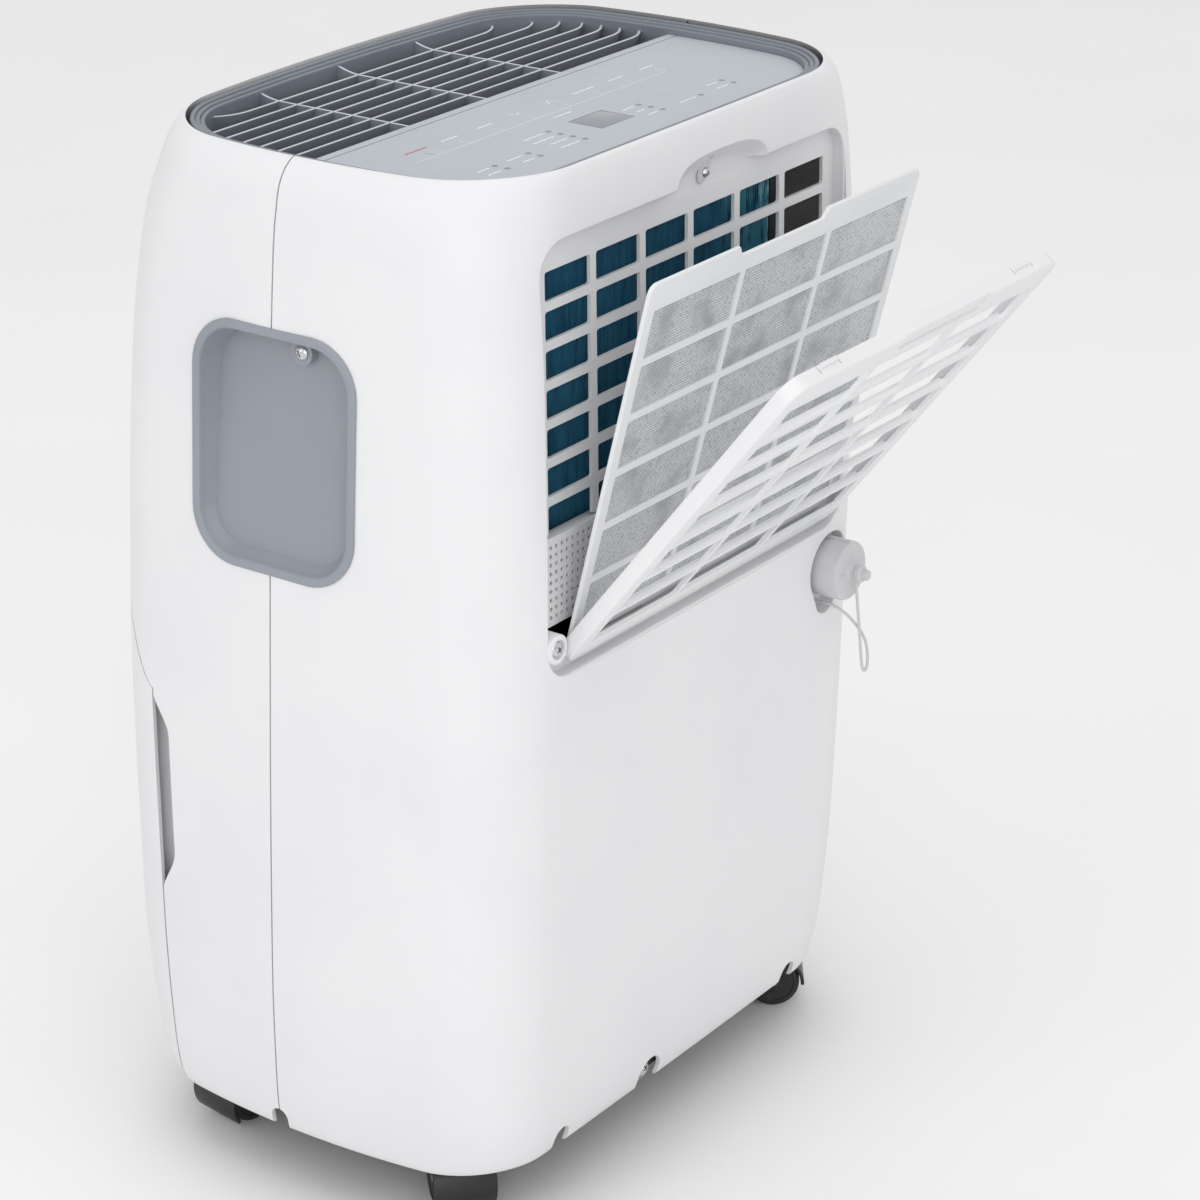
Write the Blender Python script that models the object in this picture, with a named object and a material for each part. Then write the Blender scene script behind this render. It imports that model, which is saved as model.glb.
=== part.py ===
"""Portable compressor dehumidifier with its rear filter flap open.

Metres, +Z up.  +X and -X are the two sides with the grip cups, -Y is the front
with the water bucket and +Y is the back with the air intake.  The design is drawn
about the cabinet (y = 0 near the side seam, z = 0 on the floor) and hangs from one
empty, which is then moved so that the origin is the middle of the footprint.
"""
import math

import bmesh
import bpy
from mathutils import Matrix, Vector

# ----------------------------------------------------------------------------
# Driving dimensions
# ----------------------------------------------------------------------------
GAP = 0.0003                 # clearance between pieces that touch
SHELL_WALL = 0.0026          # moulded wall of both cabinet shells

# Cabinet sections: height, half width, front, back, corner radius
CABINET_SECTIONS = (
    (0.0380, 0.1926, 0.1400, 0.1147, 0.045),
    (0.0460, 0.1942, 0.1440, 0.1175, 0.045),
    (0.0700, 0.1968, 0.1486, 0.1215, 0.045),
    (0.1500, 0.2006, 0.1530, 0.1265, 0.045),
    (0.2800, 0.2018, 0.1525, 0.1300, 0.045),
    (0.4000, 0.2015, 0.1475, 0.1320, 0.045),
    (0.5000, 0.2006, 0.1396, 0.1310, 0.046),
    (0.5700, 0.1983, 0.1291, 0.1285, 0.049),
    (0.6000, 0.1945, 0.1210, 0.1265, 0.053),
    (0.6090, 0.1905, 0.1190, 0.1255, 0.054),
    (0.6160, 0.1823, 0.1168, 0.1238, 0.055),
)
SIDE_BOW = 0.0150            # how far the sides bulge between their corners
FRONT_BOW = 0.0110
BACK_BOW = 0.0010
CABINET_TOP = CABINET_SECTIONS[-1][0]
CABINET_BOTTOM = CABINET_SECTIONS[0][0]

# Seam between the front and rear shells, leaning forward towards the floor
SEAM_Y = -0.0050             # at SEAM_Z
SEAM_Z = 0.6000
SEAM_LEAN = 0.0400
SEAM_GAP = 0.0010

# Intake recess in the back, with its moulded grid
RECESS_HALF_WIDTH = 0.1470
RECESS_Z = (0.3400, 0.5815)
RECESS_RADIUS = 0.0180
RECESS_FLOOR_Y = 0.1235      # at the recess's lower end
RECESS_FLOOR_LEAN = 0.0140
GRID_COLUMNS = 6
GRID_ROWS = 7
GRID_LEFT_X = 0.1343
GRID_TOP_Z = 0.5636
GRID_PITCH_X = 0.04586
GRID_PITCH_Z = 0.02141
GRID_WINDOW = (0.0405, 0.0161)
GRID_PLATE = 0.0034

# Sensor cover in the recess's lower corner, and the screw boss beside it
SENSOR_X = (0.0500, 0.1400)
SENSOR_Z = (0.3676, 0.4180)
SENSOR_FACE_Y = 0.1243
BOSS_X = 0.1405
BOSS_Z = 0.3585
BOSS_RADIUS = 0.0085
EAR_X = (-0.1490, -0.1436)   # hinge ear on the side without a boss
EAR_Y = (0.1215, 0.1325)
EAR_Z = (0.3455, 0.3585)

# Finger scoop above the recess, and the matching notch in the flap
SCOOP_X = -0.0200
SCOOP_HALF_WIDTH = 0.0450

# The flap hangs on a hinge along X at the bottom of the recess.  The filter stands in
# the flap's tray and tips on its lower edge.
FLAP_HINGE = (0.0, 0.1290, 0.3520)
FLAP_OPEN = math.radians(38.0)
FLAP_X = (-0.1430, 0.1312)
FLAP_Z = (-0.0060, 0.2270)
FLAP_Y = (-0.0045, 0.0045)
FLAP_SKIN = 0.0024
FLAP_SLAT_Y = -0.0004
FLAP_MARGIN = (0.0130, 0.0150, 0.0200)      # solid border at the sides, bottom and top
FLAP_RIB = 0.0050                 # upright between two columns of slots
FLAP_SLAT = 0.0045                # bar between two rows of slots
FLAP_ROWS = 7
FLAP_COLUMNS = 3
FILTER_BASE = (-0.0022, 0.0040)   # Y and Z of the filter's tipping edge in the flap
FILTER_OPEN = math.radians(14.0)
FILTER_X = (-0.1390, 0.1283)
FILTER_HEIGHT = 0.2165
FILTER_THICK = 0.0024
FILTER_ROWS = 6
FILTER_COLUMNS = 3

# Side grips: a cup across the seam on each side
GRIP_SIZE = (0.1120, 0.1400)
GRIP_RADIUS = 0.0300
GRIP_Z = 0.4570
GRIP_DEPTH = (0.0165, 0.0056)  # at the top and at the bottom
GRIP_FRONT_DEPTH = 0.0030      # how much deeper the floor lies at the front
GRIP_SCREW = (0.0045, 0.5135)
GRIP_SCREW_SEAT = 0.0095       # depth of the screw's seat

# Top: stepped rings, louvres in front, control panel behind
RING_STEPS = ((0.0034, 0.6142), (0.0064, 0.6132), (0.0094, 0.6122), (0.0124, 0.6112))
PANEL_FRONT_Y = -0.0022
PANEL_TOP_Z = 0.6086
LOUVRE_BAR_Y = (-0.0090, -0.0028)
LOUVRE_COUNT = 7
LOUVRE_PITCH = 0.0129
LOUVRE_Z = (0.5960, 0.6082)
LOUVRE_RIBS_X = (-0.061, 0.009, 0.079)
DISPLAY_CENTRE = (0.0090, 0.0680)
DISPLAY_SIZE = (0.0310, 0.0230)

# Water bucket at the lower front
BUCKET_EDGE_Y = -0.1095
BUCKET_GRIP_Z = (0.1640, 0.2940)
BUCKET_GRIP_DEPTH = 0.0125
BUCKET_TOP_Z = 0.3380
TANK_HALF_WIDTH = 0.1700
TANK_Y = (-0.1700, -0.0300)
TANK_Z = (0.0600, 0.2350)
TANK_WALL = 0.0025
CHEEK_X = (0.1800, 0.1822)   # walls behind the finger grips
CHEEK_Y = (-0.1310, -0.0880)
CHEEK_Z = (0.1500, 0.3000)

# Drain outlet on the back, with its tethered cap
DRAIN_CENTRE = (-0.1380, 0.3135)
DRAIN_POCKET_Y = 0.1215
DRAIN_POCKET_RADIUS = 0.0215
CAP_RADIUS = 0.0180
CAP_Y = (0.1224, 0.1455)
TETHER_DIAMETER = 0.0018

# Casters
CASTER_X = 0.1550
CASTER_Y = {"front": -0.1030, "rear": 0.0745}
CASTER_TURN = {               # how each one stands about its stem, in degrees
    "front_right": 261.0,
    "front_left": 290.0,
    "rear_right": 320.5,
    "rear_left": 214.9,
}
CASTER_TRAIL = 0.0100
WHEEL_RADIUS = 0.0165
WHEEL_WIDTH = 0.0128
WHEEL_GAP = 0.0030           # from the middle of the fork to a wheel
AXLE_RADIUS = 0.0025
HOOD_RADIUS = 0.0195
HOOD_WALL = 0.0022
HOOD_WIDTH = 0.0370
HOOD_FRONT = -38.0           # degrees below the axle that the hood's front reaches
STEM_RADIUS = 0.0040
PAN_Z = (0.0460, 0.0500)

# Refrigeration and fan
COIL_X = (-0.0920, 0.1440)
COIL_Z = (0.4000, 0.5720)
EVAPORATOR_Y = (0.0880, 0.1120)
CONDENSER_Y = (0.0600, 0.0860)
FAN_CENTRE = (0.0000, 0.4500)
FAN_Y = (-0.0820, -0.0060)
FAN_RADIUS = 0.0720
COMPRESSOR_CENTRE = (-0.0700, 0.0500)
COMPRESSOR_RADIUS = 0.0500

ROUND = 20                   # sides of a round piece


# ----------------------------------------------------------------------------
# Materials
# ----------------------------------------------------------------------------
PALETTE = {
    "shell_white": ((0.80, 0.80, 0.81), 0.38, 0.0),
    "flap_white": ((0.82, 0.82, 0.83), 0.42, 0.0),
    "filter_white": ((0.80, 0.81, 0.82), 0.50, 0.0),
    "filter_net": ((0.55, 0.56, 0.57), 0.80, 0.0),
    "grille_grey": ((0.23, 0.26, 0.30), 0.45, 0.0),
    "panel_grey": ((0.49, 0.53, 0.57), 0.40, 0.0),
    "display_grey": ((0.20, 0.22, 0.25), 0.20, 0.0),
    "grip_grey": ((0.28, 0.31, 0.35), 0.50, 0.0),
    "cap_grey": ((0.62, 0.63, 0.65), 0.45, 0.0),
    "tank_grey": ((0.45, 0.46, 0.48), 0.40, 0.0),
    "caster_black": ((0.012, 0.012, 0.013), 0.40, 0.0),
    "fin_blue": ((0.02, 0.09, 0.15), 0.45, 0.4),
    "fin_aluminium": ((0.60, 0.61, 0.62), 0.35, 1.0),
    "copper": ((0.72, 0.33, 0.17), 0.30, 1.0),
    "motor_steel": ((0.42, 0.43, 0.44), 0.40, 1.0),
    "screw_chrome": ((0.65, 0.66, 0.68), 0.22, 1.0),
    "compressor_black": ((0.02, 0.02, 0.022), 0.35, 0.0),
    "inner_black": ((0.018, 0.018, 0.020), 0.60, 0.0),
    "board_green": ((0.02, 0.16, 0.07), 0.45, 0.0),
    "foam_white": ((0.75, 0.75, 0.74), 0.80, 0.0),
}


def material(name):
    """Principled material of one colour, made once."""
    found = bpy.data.materials.get(name)
    if found:
        return found
    colour, roughness, metallic = PALETTE[name]
    made = bpy.data.materials.new(name)
    made.use_nodes = True
    shader = made.node_tree.nodes["Principled BSDF"]
    shader.inputs["Base Color"].default_value = (*colour, 1.0)
    shader.inputs["Roughness"].default_value = roughness
    shader.inputs["Metallic"].default_value = metallic
    return made


# ----------------------------------------------------------------------------
# Mesh helpers
# ----------------------------------------------------------------------------
def clear_scene():
    for item in list(bpy.data.objects):
        bpy.data.objects.remove(item, do_unlink=True)


def object_from(bm, name, material_name=None, location=(0, 0, 0), rotation=(0, 0, 0), smooth=None):
    """Turn a bmesh into an object; smooth is the angle in degrees kept sharp above."""
    bmesh.ops.recalc_face_normals(bm, faces=bm.faces)
    mesh = bpy.data.meshes.new(name)
    bm.to_mesh(mesh)
    bm.free()
    if smooth is not None:
        mesh.shade_smooth()
        mesh.set_sharp_from_angle(angle=math.radians(smooth))
    made = bpy.data.objects.new(name, mesh)
    if material_name:
        mesh.materials.append(material(material_name))
    bpy.context.scene.collection.objects.link(made)
    made.location = location
    made.rotation_euler = rotation
    return made


def bm_loft(rings):
    """Closed solid through rings of equal length, capped at both ends."""
    bm = bmesh.new()
    rows = [[bm.verts.new(p) for p in ring] for ring in rings]
    count = len(rings[0])
    for lower, upper in zip(rows, rows[1:]):
        for i in range(count):
            j = (i + 1) % count
            bm.faces.new((lower[i], lower[j], upper[j], upper[i]))
    bm.faces.new(reversed(rows[0]))
    bm.faces.new(rows[-1])
    return bm


def bm_closed_sweep(rings):
    """Solid ring through profiles that close on themselves, such as a frame."""
    bm = bmesh.new()
    rows = [[bm.verts.new(p) for p in ring] for ring in rings]
    profiles = len(rows)
    count = len(rings[0])
    for k in range(profiles):
        here, there = rows[k], rows[(k + 1) % profiles]
        for i in range(count):
            j = (i + 1) % count
            bm.faces.new((here[i], here[j], there[j], there[i]))
    return bm


AXES = {"X": (1, 2, 0), "Y": (0, 2, 1), "Z": (0, 1, 2)}


def on_axis(u, v, w, axis):
    """Point whose two section coordinates are u, v and whose place on axis is w."""
    point = [0.0, 0.0, 0.0]
    first, second, along = AXES[axis]
    point[first] = u
    point[second] = v
    point[along] = w
    return tuple(point)


def bm_prism(outline, axis, low, high):
    return bm_loft([[on_axis(u, v, w, axis) for u, v in outline] for w in (low, high)])


def bm_box(low, high):
    outline = [(low[0], low[1]), (high[0], low[1]), (high[0], high[1]), (low[0], high[1])]
    return bm_prism(outline, "Z", low[2], high[2])


def bm_turned(profile, axis, centre, sides=ROUND):
    """Solid of revolution: profile is (place on axis, radius), all radii above zero."""
    rings = []
    for w, radius in profile:
        ring = []
        for k in range(sides):
            angle = 2 * math.pi * k / sides
            u = centre[0] + radius * math.cos(angle)
            v = centre[1] + radius * math.sin(angle)
            ring.append(on_axis(u, v, w, axis))
        rings.append(ring)
    return bm_loft(rings)


def merge(*parts):
    """Several closed bmeshes as one, each still its own body."""
    whole = bmesh.new()
    for part in parts:
        scratch = bpy.data.meshes.new("scratch")
        bmesh.ops.recalc_face_normals(part, faces=part.faces)
        part.to_mesh(scratch)
        part.free()
        whole.from_mesh(scratch)
        bpy.data.meshes.remove(scratch)
    return whole


def boolean(target, operation, *cutters):
    """Apply exact Booleans with bmesh cutters to an object, in order."""
    bpy.context.view_layer.update()
    for cutter_bm in cutters:
        cutter = object_from(cutter_bm, "cutter")
        cutter.matrix_world = target.matrix_world.copy()
        bpy.context.view_layer.update()
        modifier = target.modifiers.new("cut", "BOOLEAN")
        modifier.operation = operation
        modifier.solver = "EXACT"
        modifier.object = cutter
        bpy.context.view_layer.update()
        depsgraph = bpy.context.evaluated_depsgraph_get()
        result = bpy.data.meshes.new_from_object(target.evaluated_get(depsgraph))
        old = target.data
        target.modifiers.clear()
        target.data = result
        result.name = target.name
        bpy.data.meshes.remove(old)
        bpy.data.objects.remove(cutter, do_unlink=True)
    return target


def cut(target, *cutters):
    return boolean(target, "DIFFERENCE", *cutters)


def join(target, *additions):
    return boolean(target, "UNION", *additions)


def keep(target, *regions):
    return boolean(target, "INTERSECT", *regions)


def tidy(target):
    """Weld coincident points and drop needless flat edges left by Booleans."""
    bm = bmesh.new()
    bm.from_mesh(target.data)
    bmesh.ops.remove_doubles(bm, verts=bm.verts, dist=1e-6)
    bmesh.ops.dissolve_degenerate(bm, edges=bm.edges, dist=1e-6)
    bmesh.ops.dissolve_limit(bm, angle_limit=math.radians(0.2), verts=bm.verts, edges=bm.edges)
    bmesh.ops.triangulate(bm, faces=bm.faces)
    bm.to_mesh(target.data)
    bm.free()
    return target


# ----------------------------------------------------------------------------
# Outlines
# ----------------------------------------------------------------------------
def arc(cu, cv, radius, start, end, steps):
    """Points of an arc, angles in degrees, both ends included."""
    points = []
    for k in range(steps + 1):
        angle = math.radians(start + (end - start) * k / steps)
        points.append((cu + radius * math.cos(angle), cv + radius * math.sin(angle)))
    return points


def rounded_rectangle(u_range, v_range, radius, steps=4):
    (u0, u1), (v0, v1) = u_range, v_range
    if radius == 0:
        return [(u1, v0), (u1, v1), (u0, v1), (u0, v0)]
    outline = arc(u1 - radius, v0 + radius, radius, -90, 0, steps)
    outline += arc(u1 - radius, v1 - radius, radius, 0, 90, steps)
    outline += arc(u0 + radius, v1 - radius, radius, 90, 180, steps)
    outline += arc(u0 + radius, v0 + radius, radius, 180, 270, steps)
    return outline


def cabinet_section(z):
    """Half width, front, back and corner radius of the cabinet at a height."""
    sections = CABINET_SECTIONS
    z = min(max(z, sections[0][0]), sections[-1][0])
    for low, high in zip(sections, sections[1:]):
        if z <= high[0]:
            break
    share = (z - low[0]) / (high[0] - low[0])
    return [a + (b - a) * share for a, b in zip(low[1:], high[1:])]


def cabinet_outline(z, inset=0.0, corner_steps=5, side_steps=4):
    """Plan outline of the cabinet at a height, drawn inside by inset."""
    half_width, front, back, radius = cabinet_section(z)
    flat_half = half_width - SIDE_BOW
    middle = (back - front) / 2
    half_depth = (back + front) / 2
    u_end = flat_half - radius
    v_end = half_depth - radius
    small = max(radius - inset, 0.004)
    outline = []
    corners = ((1, -1, -90), (1, 1, 0), (-1, 1, 90), (-1, -1, 180))
    for side_u, side_v, start in corners:
        outline += arc(side_u * u_end, side_v * v_end, small, start, start + 90, corner_steps)
        last = outline[-1]
        if side_v * side_u < 0:
            goal = (last[0], -last[1])
        else:
            goal = (-last[0], last[1])
        for k in range(1, side_steps):
            share = k / side_steps
            outline.append(tuple(a + (b - a) * share for a, b in zip(last, goal)))
    bowed = []
    for u, v in outline:
        along = max(-1.0, min(1.0, u / flat_half))
        across = max(-1.0, min(1.0, v / half_depth))
        bow_v = BACK_BOW if v > 0 else -FRONT_BOW
        v_new = v + bow_v * (1 - along ** 2) * abs(across)
        u_new = u + SIDE_BOW * along * (1 - across ** 2)
        bowed.append((u_new, v_new + middle))
    return bowed


def cabinet_volume(inset=0.0, low=None, high=None):
    """Solid of the cabinet's outer form, or of a smaller form inside it."""
    heights = [section[0] for section in CABINET_SECTIONS]
    low = heights[0] if low is None else low
    high = heights[-1] if high is None else high
    levels = [low] + [z for z in heights if low < z < high] + [high]
    return bm_loft([[(u, v, z) for u, v in cabinet_outline(z, inset)] for z in levels])


def inner_volume():
    """Hollow of the cabinet: open below, and open above inside the top rim."""
    heights = [section[0] for section in CABINET_SECTIONS]
    levels = [heights[0] - 0.002] + heights[:-2] + [heights[-2] - 0.003, heights[-1] + 0.002]
    rings = []
    for z in levels:
        rings.append([(u, v, z) for u, v in cabinet_outline(z, SHELL_WALL)])
    return bm_loft(rings)


def side_surface_x(y, z):
    """Outer face of the cabinet's +X side at a point."""
    half_width, front, back, _ = cabinet_section(z)
    across = (y - (back - front) / 2) / ((back + front) / 2)
    return half_width - SIDE_BOW * across ** 2


def seam_y(z):
    return SEAM_Y - SEAM_LEAN * (SEAM_Z - z)


def seam_side(sign):
    """Half space in front of (-1) or behind (+1) the seam, as a big block."""
    far = 0.30 * sign
    edge = SEAM_GAP / 2 * sign
    low, high = 0.0, 0.70
    outline = [(seam_y(low) + edge, low), (far, low), (far, high), (seam_y(high) + edge, high)]
    return bm_prism(outline, "X", -0.30, 0.30)


# ----------------------------------------------------------------------------
# Cabinet
# ----------------------------------------------------------------------------
def recess_floor_y(z):
    return RECESS_FLOOR_Y - RECESS_FLOOR_LEAN * (z - RECESS_Z[0])


def intake_recess(grow=0.0):
    """Pocket of the intake recess; grow moves its walls and floor outwards."""
    x = RECESS_HALF_WIDTH + grow
    outline = rounded_rectangle((-x, x), (RECESS_Z[0] - grow, RECESS_Z[1] + grow), RECESS_RADIUS + grow, 5)
    inner = [(u, recess_floor_y(v) - grow, v) for u, v in outline]
    outer = [(u, 0.20, v) for u, v in outline]
    return bm_loft([inner, outer])


def finger_scoop(grow=0.0):
    """Dished half-moon above the recess, deepest where it runs into the recess."""
    rings = []
    base_z = RECESS_Z[1] - 0.004
    for y, half_width, height in ((0.1195, 0.032, 0.006), (0.1235, 0.040, 0.013), (0.1300, 0.046, 0.021),
                                  (0.1450, 0.052, 0.034)):
        half_width += grow
        height += grow
        ring = [(SCOOP_X + half_width, y - grow, base_z - 0.004), (SCOOP_X + half_width, y - grow, base_z)]
        for k in range(1, 10):
            angle = math.pi * k / 10
            u = SCOOP_X + half_width * math.copysign(abs(math.cos(angle)) ** 0.7, math.cos(angle))
            ring.append((u, y - grow, base_z + height * math.sin(angle) ** 0.7))
        ring += [(SCOOP_X - half_width, y - grow, base_z), (SCOOP_X - half_width, y - grow, base_z - 0.004)]
        rings.append(ring)
    return bm_loft(rings)


def drain_pocket(grow=0.0):
    """Egg-shaped pocket round the drain outlet, with a lobe for the tether below."""
    u, v = DRAIN_CENTRE
    radius = DRAIN_POCKET_RADIUS + grow
    outline = arc(u, v, radius, -30, 210, 16)
    outline += arc(u + 0.003, v - 0.0160, 0.0125 + grow, 225, 315, 6)
    outer_y = 0.16
    floor = [(a, DRAIN_POCKET_Y - grow, b) for a, b in outline]
    return bm_loft([floor, [(a, outer_y, b) for a, b in outline]])


def grid_windows():
    """Every rectangular opening of the intake grid, as one cutter."""
    width, height = GRID_WINDOW
    windows = []
    for column in range(GRID_COLUMNS):
        right = GRID_LEFT_X - column * GRID_PITCH_X
        for row in range(GRID_ROWS):
            top = GRID_TOP_Z - row * GRID_PITCH_Z
            outline = rounded_rectangle((right - width, right), (top - height, top), 0)
            windows.append(bm_prism(outline, "Y", 0.105, 0.140))
    return merge(*windows)


def sensor_window():
    """Opening below the grid's first two columns, round the sensor cover."""
    low_z = RECESS_Z[0] + 0.0095
    return bm_box((SENSOR_X[0] - 0.0022, 0.105, low_z), (SENSOR_X[1] + 0.0022, 0.140, SENSOR_Z[1] + 0.0016))


def bottom_scallops():
    """Arched notches along the cabinet's lower edge at the back."""
    arches = []
    for x, half_width, height in ((0.118, 0.007, 0.013), (0.031, 0.011, 0.018), (-0.122, 0.007, 0.013)):
        top = CABINET_BOTTOM + height - half_width
        outline = [(x - half_width, 0.02), (x + half_width, 0.02)] + arc(x, top, half_width, 0, 180, 8)
        arches.append(bm_prism(outline, "Y", 0.100, 0.140))
    return merge(*arches)


def seam_foot_scallops():
    """Small notch at the foot of the seam on both sides."""
    y = seam_y(CABINET_BOTTOM)
    outline = [(y - 0.006, 0.02), (y + 0.006, 0.02)] + arc(y, CABINET_BOTTOM + 0.006, 0.006, 0, 180, 8)
    return merge(bm_prism(outline, "X", 0.17, 0.21), bm_prism(outline, "X", -0.21, -0.17))


def grip_outline(inset, steps=5):
    """Rounded outline of a side grip in the YZ plane, leaning with the seam."""
    half_y = GRIP_SIZE[0] / 2 - inset
    half_z = GRIP_SIZE[1] / 2 - inset
    square = rounded_rectangle((-half_y, half_y), (-half_z, half_z), GRIP_RADIUS - inset, steps)
    return [(seam_y(GRIP_Z + w) + v, GRIP_Z + w) for v, w in square]


def grip_holes():
    outline = grip_outline(0.0026)
    return merge(bm_prism(outline, "X", 0.16, 0.22), bm_prism(outline, "X", -0.22, -0.16))


def bucket_side_outline(grow=0.0):
    """Side view of the space that the bucket's front takes out of the cabinet."""
    edge = BUCKET_EDGE_Y + grow
    top = BUCKET_TOP_Z + grow
    bend_z = BUCKET_GRIP_Z[1]
    outline = [(-0.25, 0.01), (edge, 0.01), (edge, bend_z)]
    for k in range(1, 9):
        share = k / 8
        ease = share * share * (3 - 2 * share)
        outline.append((edge - 0.034 * share, bend_z + (top - bend_z) * (0.35 * share + 0.65 * ease)))
    outline.append((-0.25, top))
    return outline


def bucket_grip_scoops():
    """Finger scoops in the front shell's edge beside the bucket."""
    low, high = BUCKET_GRIP_Z
    depth = BUCKET_GRIP_DEPTH
    outline = [(BUCKET_EDGE_Y - 0.01, low), (BUCKET_EDGE_Y, low)]
    for k in range(1, 12):
        share = k / 12
        reach = depth * min(1.0, 1.9 * math.sin(math.pi * share) ** 0.8)
        outline.append((BUCKET_EDGE_Y + reach, low + (high - low) * share))
    outline += [(BUCKET_EDGE_Y, high), (BUCKET_EDGE_Y - 0.01, high)]
    return merge(bm_prism(outline, "X", 0.15, 0.22), bm_prism(outline, "X", -0.22, -0.15))


def make_front_shell():
    shell = object_from(cabinet_volume(), "front_shell", "shell_white")
    cut(shell, inner_volume())
    keep(shell, seam_side(-1))
    cut(shell, bm_prism(bucket_side_outline(0.0010), "X", -0.22, 0.22))
    cut(shell, bucket_grip_scoops(), grip_holes(), seam_foot_scallops())
    return tidy(shell)


def screw_boss(x):
    """Moulded boss in the recess's lower corner for a cabinet screw."""
    return bm_turned(((0.1120, BOSS_RADIUS), (0.1322, BOSS_RADIUS), (0.1330, BOSS_RADIUS - 0.0008)),
                     "Y", (x, BOSS_Z), 20)


def make_rear_shell():
    shell = object_from(cabinet_volume(), "rear_shell", "shell_white")
    cut(shell, intake_recess(), finger_scoop(), drain_pocket())
    hollow = object_from(inner_volume(), "hollow")
    cut(hollow, intake_recess(GRID_PLATE), finger_scoop(SHELL_WALL), drain_pocket(SHELL_WALL))
    inside = bmesh.new()
    inside.from_mesh(hollow.data)
    bpy.data.objects.remove(hollow, do_unlink=True)
    cut(shell, inside)
    keep(shell, seam_side(1))
    cut(shell, grid_windows(), sensor_window(), grip_holes(), bottom_scallops(), seam_foot_scallops())
    u, v = DRAIN_CENTRE
    cut(shell, bm_turned(((0.10, 0.0136), (0.14, 0.0136)), "Y", (u, v)))
    join(shell, screw_boss(BOSS_X), bm_box(*zip(EAR_X, EAR_Y, EAR_Z)))
    cut(shell, bm_turned(((0.105, 0.0018), (0.1312, 0.0018), (0.1313, 0.0052), (0.140, 0.0052)),
                         "Y", (BOSS_X, BOSS_Z), 16))
    boss_side = BOSS_X - BOSS_RADIUS
    for hole_x in ((boss_side - 0.001, boss_side + 0.0030), (-0.1478, EAR_X[1] + 0.001)):
        cut(shell, bm_turned([(x, 0.0024) for x in hole_x], "X", FLAP_HINGE[1:], 12))
    return tidy(shell)


def caster_places():
    """Name, side, stem position and turn of every caster."""
    places = []
    for end, y in CASTER_Y.items():
        for side, sign in (("right", 1), ("left", -1)):
            label = end + "_" + side
            places.append((label, sign * CASTER_X, y, math.radians(CASTER_TURN[label])))
    return places


def make_base_pan():
    """Floor plate inside both shells, with a raised seat for each caster stem."""
    low, high = PAN_Z
    outline = cabinet_outline(low, 0.0040)
    pan = object_from(bm_prism(outline, "Z", low, high), "base_pan", "inner_black")
    bore = STEM_RADIUS + 0.0004
    seats = []
    bores = []
    for _, x, y, _ in caster_places():
        seats.append(bm_turned(((low + 0.001, 0.009), (high + 0.006, 0.009)), "Z", (x, y), 16))
        bores.append(bm_turned(((low - 0.01, bore), (high + 0.0050, bore)), "Z", (x, y), 16))
    join(pan, merge(*seats))
    cut(pan, merge(*bores))
    join(pan, bm_turned(((low - 0.006, 0.0085), (high - 0.001, 0.0085)), "Z", (0.031, 0.1010), 16))
    cut(pan, bm_turned(((low - 0.01, 0.0016), (low + 0.0035, 0.0016)), "Z", (0.031, 0.1010), 12))
    return tidy(pan)


# ----------------------------------------------------------------------------
# Top
# ----------------------------------------------------------------------------
def ring_at(inset, z):
    return [(u, v, z) for u, v in cabinet_outline(CABINET_TOP, inset)]


def make_outlet_grille():
    """Stepped grey ring inside the rim, with the louvres of the air outlet."""
    bottom = 0.5960
    rings = [ring_at(RING_STEPS[0][0], bottom)]
    for (inset, top), (next_inset, _) in zip(RING_STEPS, RING_STEPS[1:]):
        rings += [ring_at(inset, top), ring_at(next_inset, top)]
    rings.append(ring_at(RING_STEPS[-1][0], bottom))
    grille = object_from(bm_closed_sweep(rings), "outlet_grille", "grille_grey")
    slats = []
    low, high = LOUVRE_Z
    for k in range(LOUVRE_COUNT):
        y = LOUVRE_BAR_Y[0] - (k + 1) * LOUVRE_PITCH
        outline = [(y, high), (y - 0.0016, high), (y - 0.0046, low), (y - 0.0030, low)]
        slats.append(bm_prism(outline, "X", -0.25, 0.25))
    slats.append(bm_box((-0.25, LOUVRE_BAR_Y[0], 0.5970), (0.25, LOUVRE_BAR_Y[1], 0.6086)))
    louvres = object_from(merge(*slats), "louvres")
    keep(louvres, bm_prism(cabinet_outline(CABINET_TOP, 0.0080), "Z", 0.59, 0.62))
    rib_side = [(-0.25, 0.5975), (-0.0080, 0.5975), (-0.0080, high - 0.0002), (-0.0990, high - 0.0002),
                (-0.1060, high + 0.0008), (-0.1120, high + 0.0024), (-0.25, high + 0.0024)]
    ribs = [bm_prism(rib_side, "X", x - 0.0009, x + 0.0009) for x in LOUVRE_RIBS_X]
    rib_object = object_from(merge(*ribs), "ribs")
    keep(rib_object, bm_prism(cabinet_outline(CABINET_TOP, 0.0080), "Z", 0.59, 0.62))
    for piece in (louvres, rib_object):
        inside = bmesh.new()
        inside.from_mesh(piece.data)
        bpy.data.objects.remove(piece, do_unlink=True)
        join(grille, inside)
    return tidy(grille)


def make_control_panel():
    outline = cabinet_outline(CABINET_TOP, RING_STEPS[-1][0] + 0.0004)
    panel = object_from(bm_prism(outline, "Z", 0.6046, PANEL_TOP_Z), "control_panel", "panel_grey")
    keep(panel, bm_box((-0.25, PANEL_FRONT_Y, 0.60), (0.25, 0.25, 0.62)))
    (cx, cy), (sx, sy) = DISPLAY_CENTRE, DISPLAY_SIZE
    cut(panel, bm_box((cx - sx / 2, cy - sy / 2, 0.60), (cx + sx / 2, cy + sy / 2, 0.62)))
    return tidy(panel)


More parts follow.
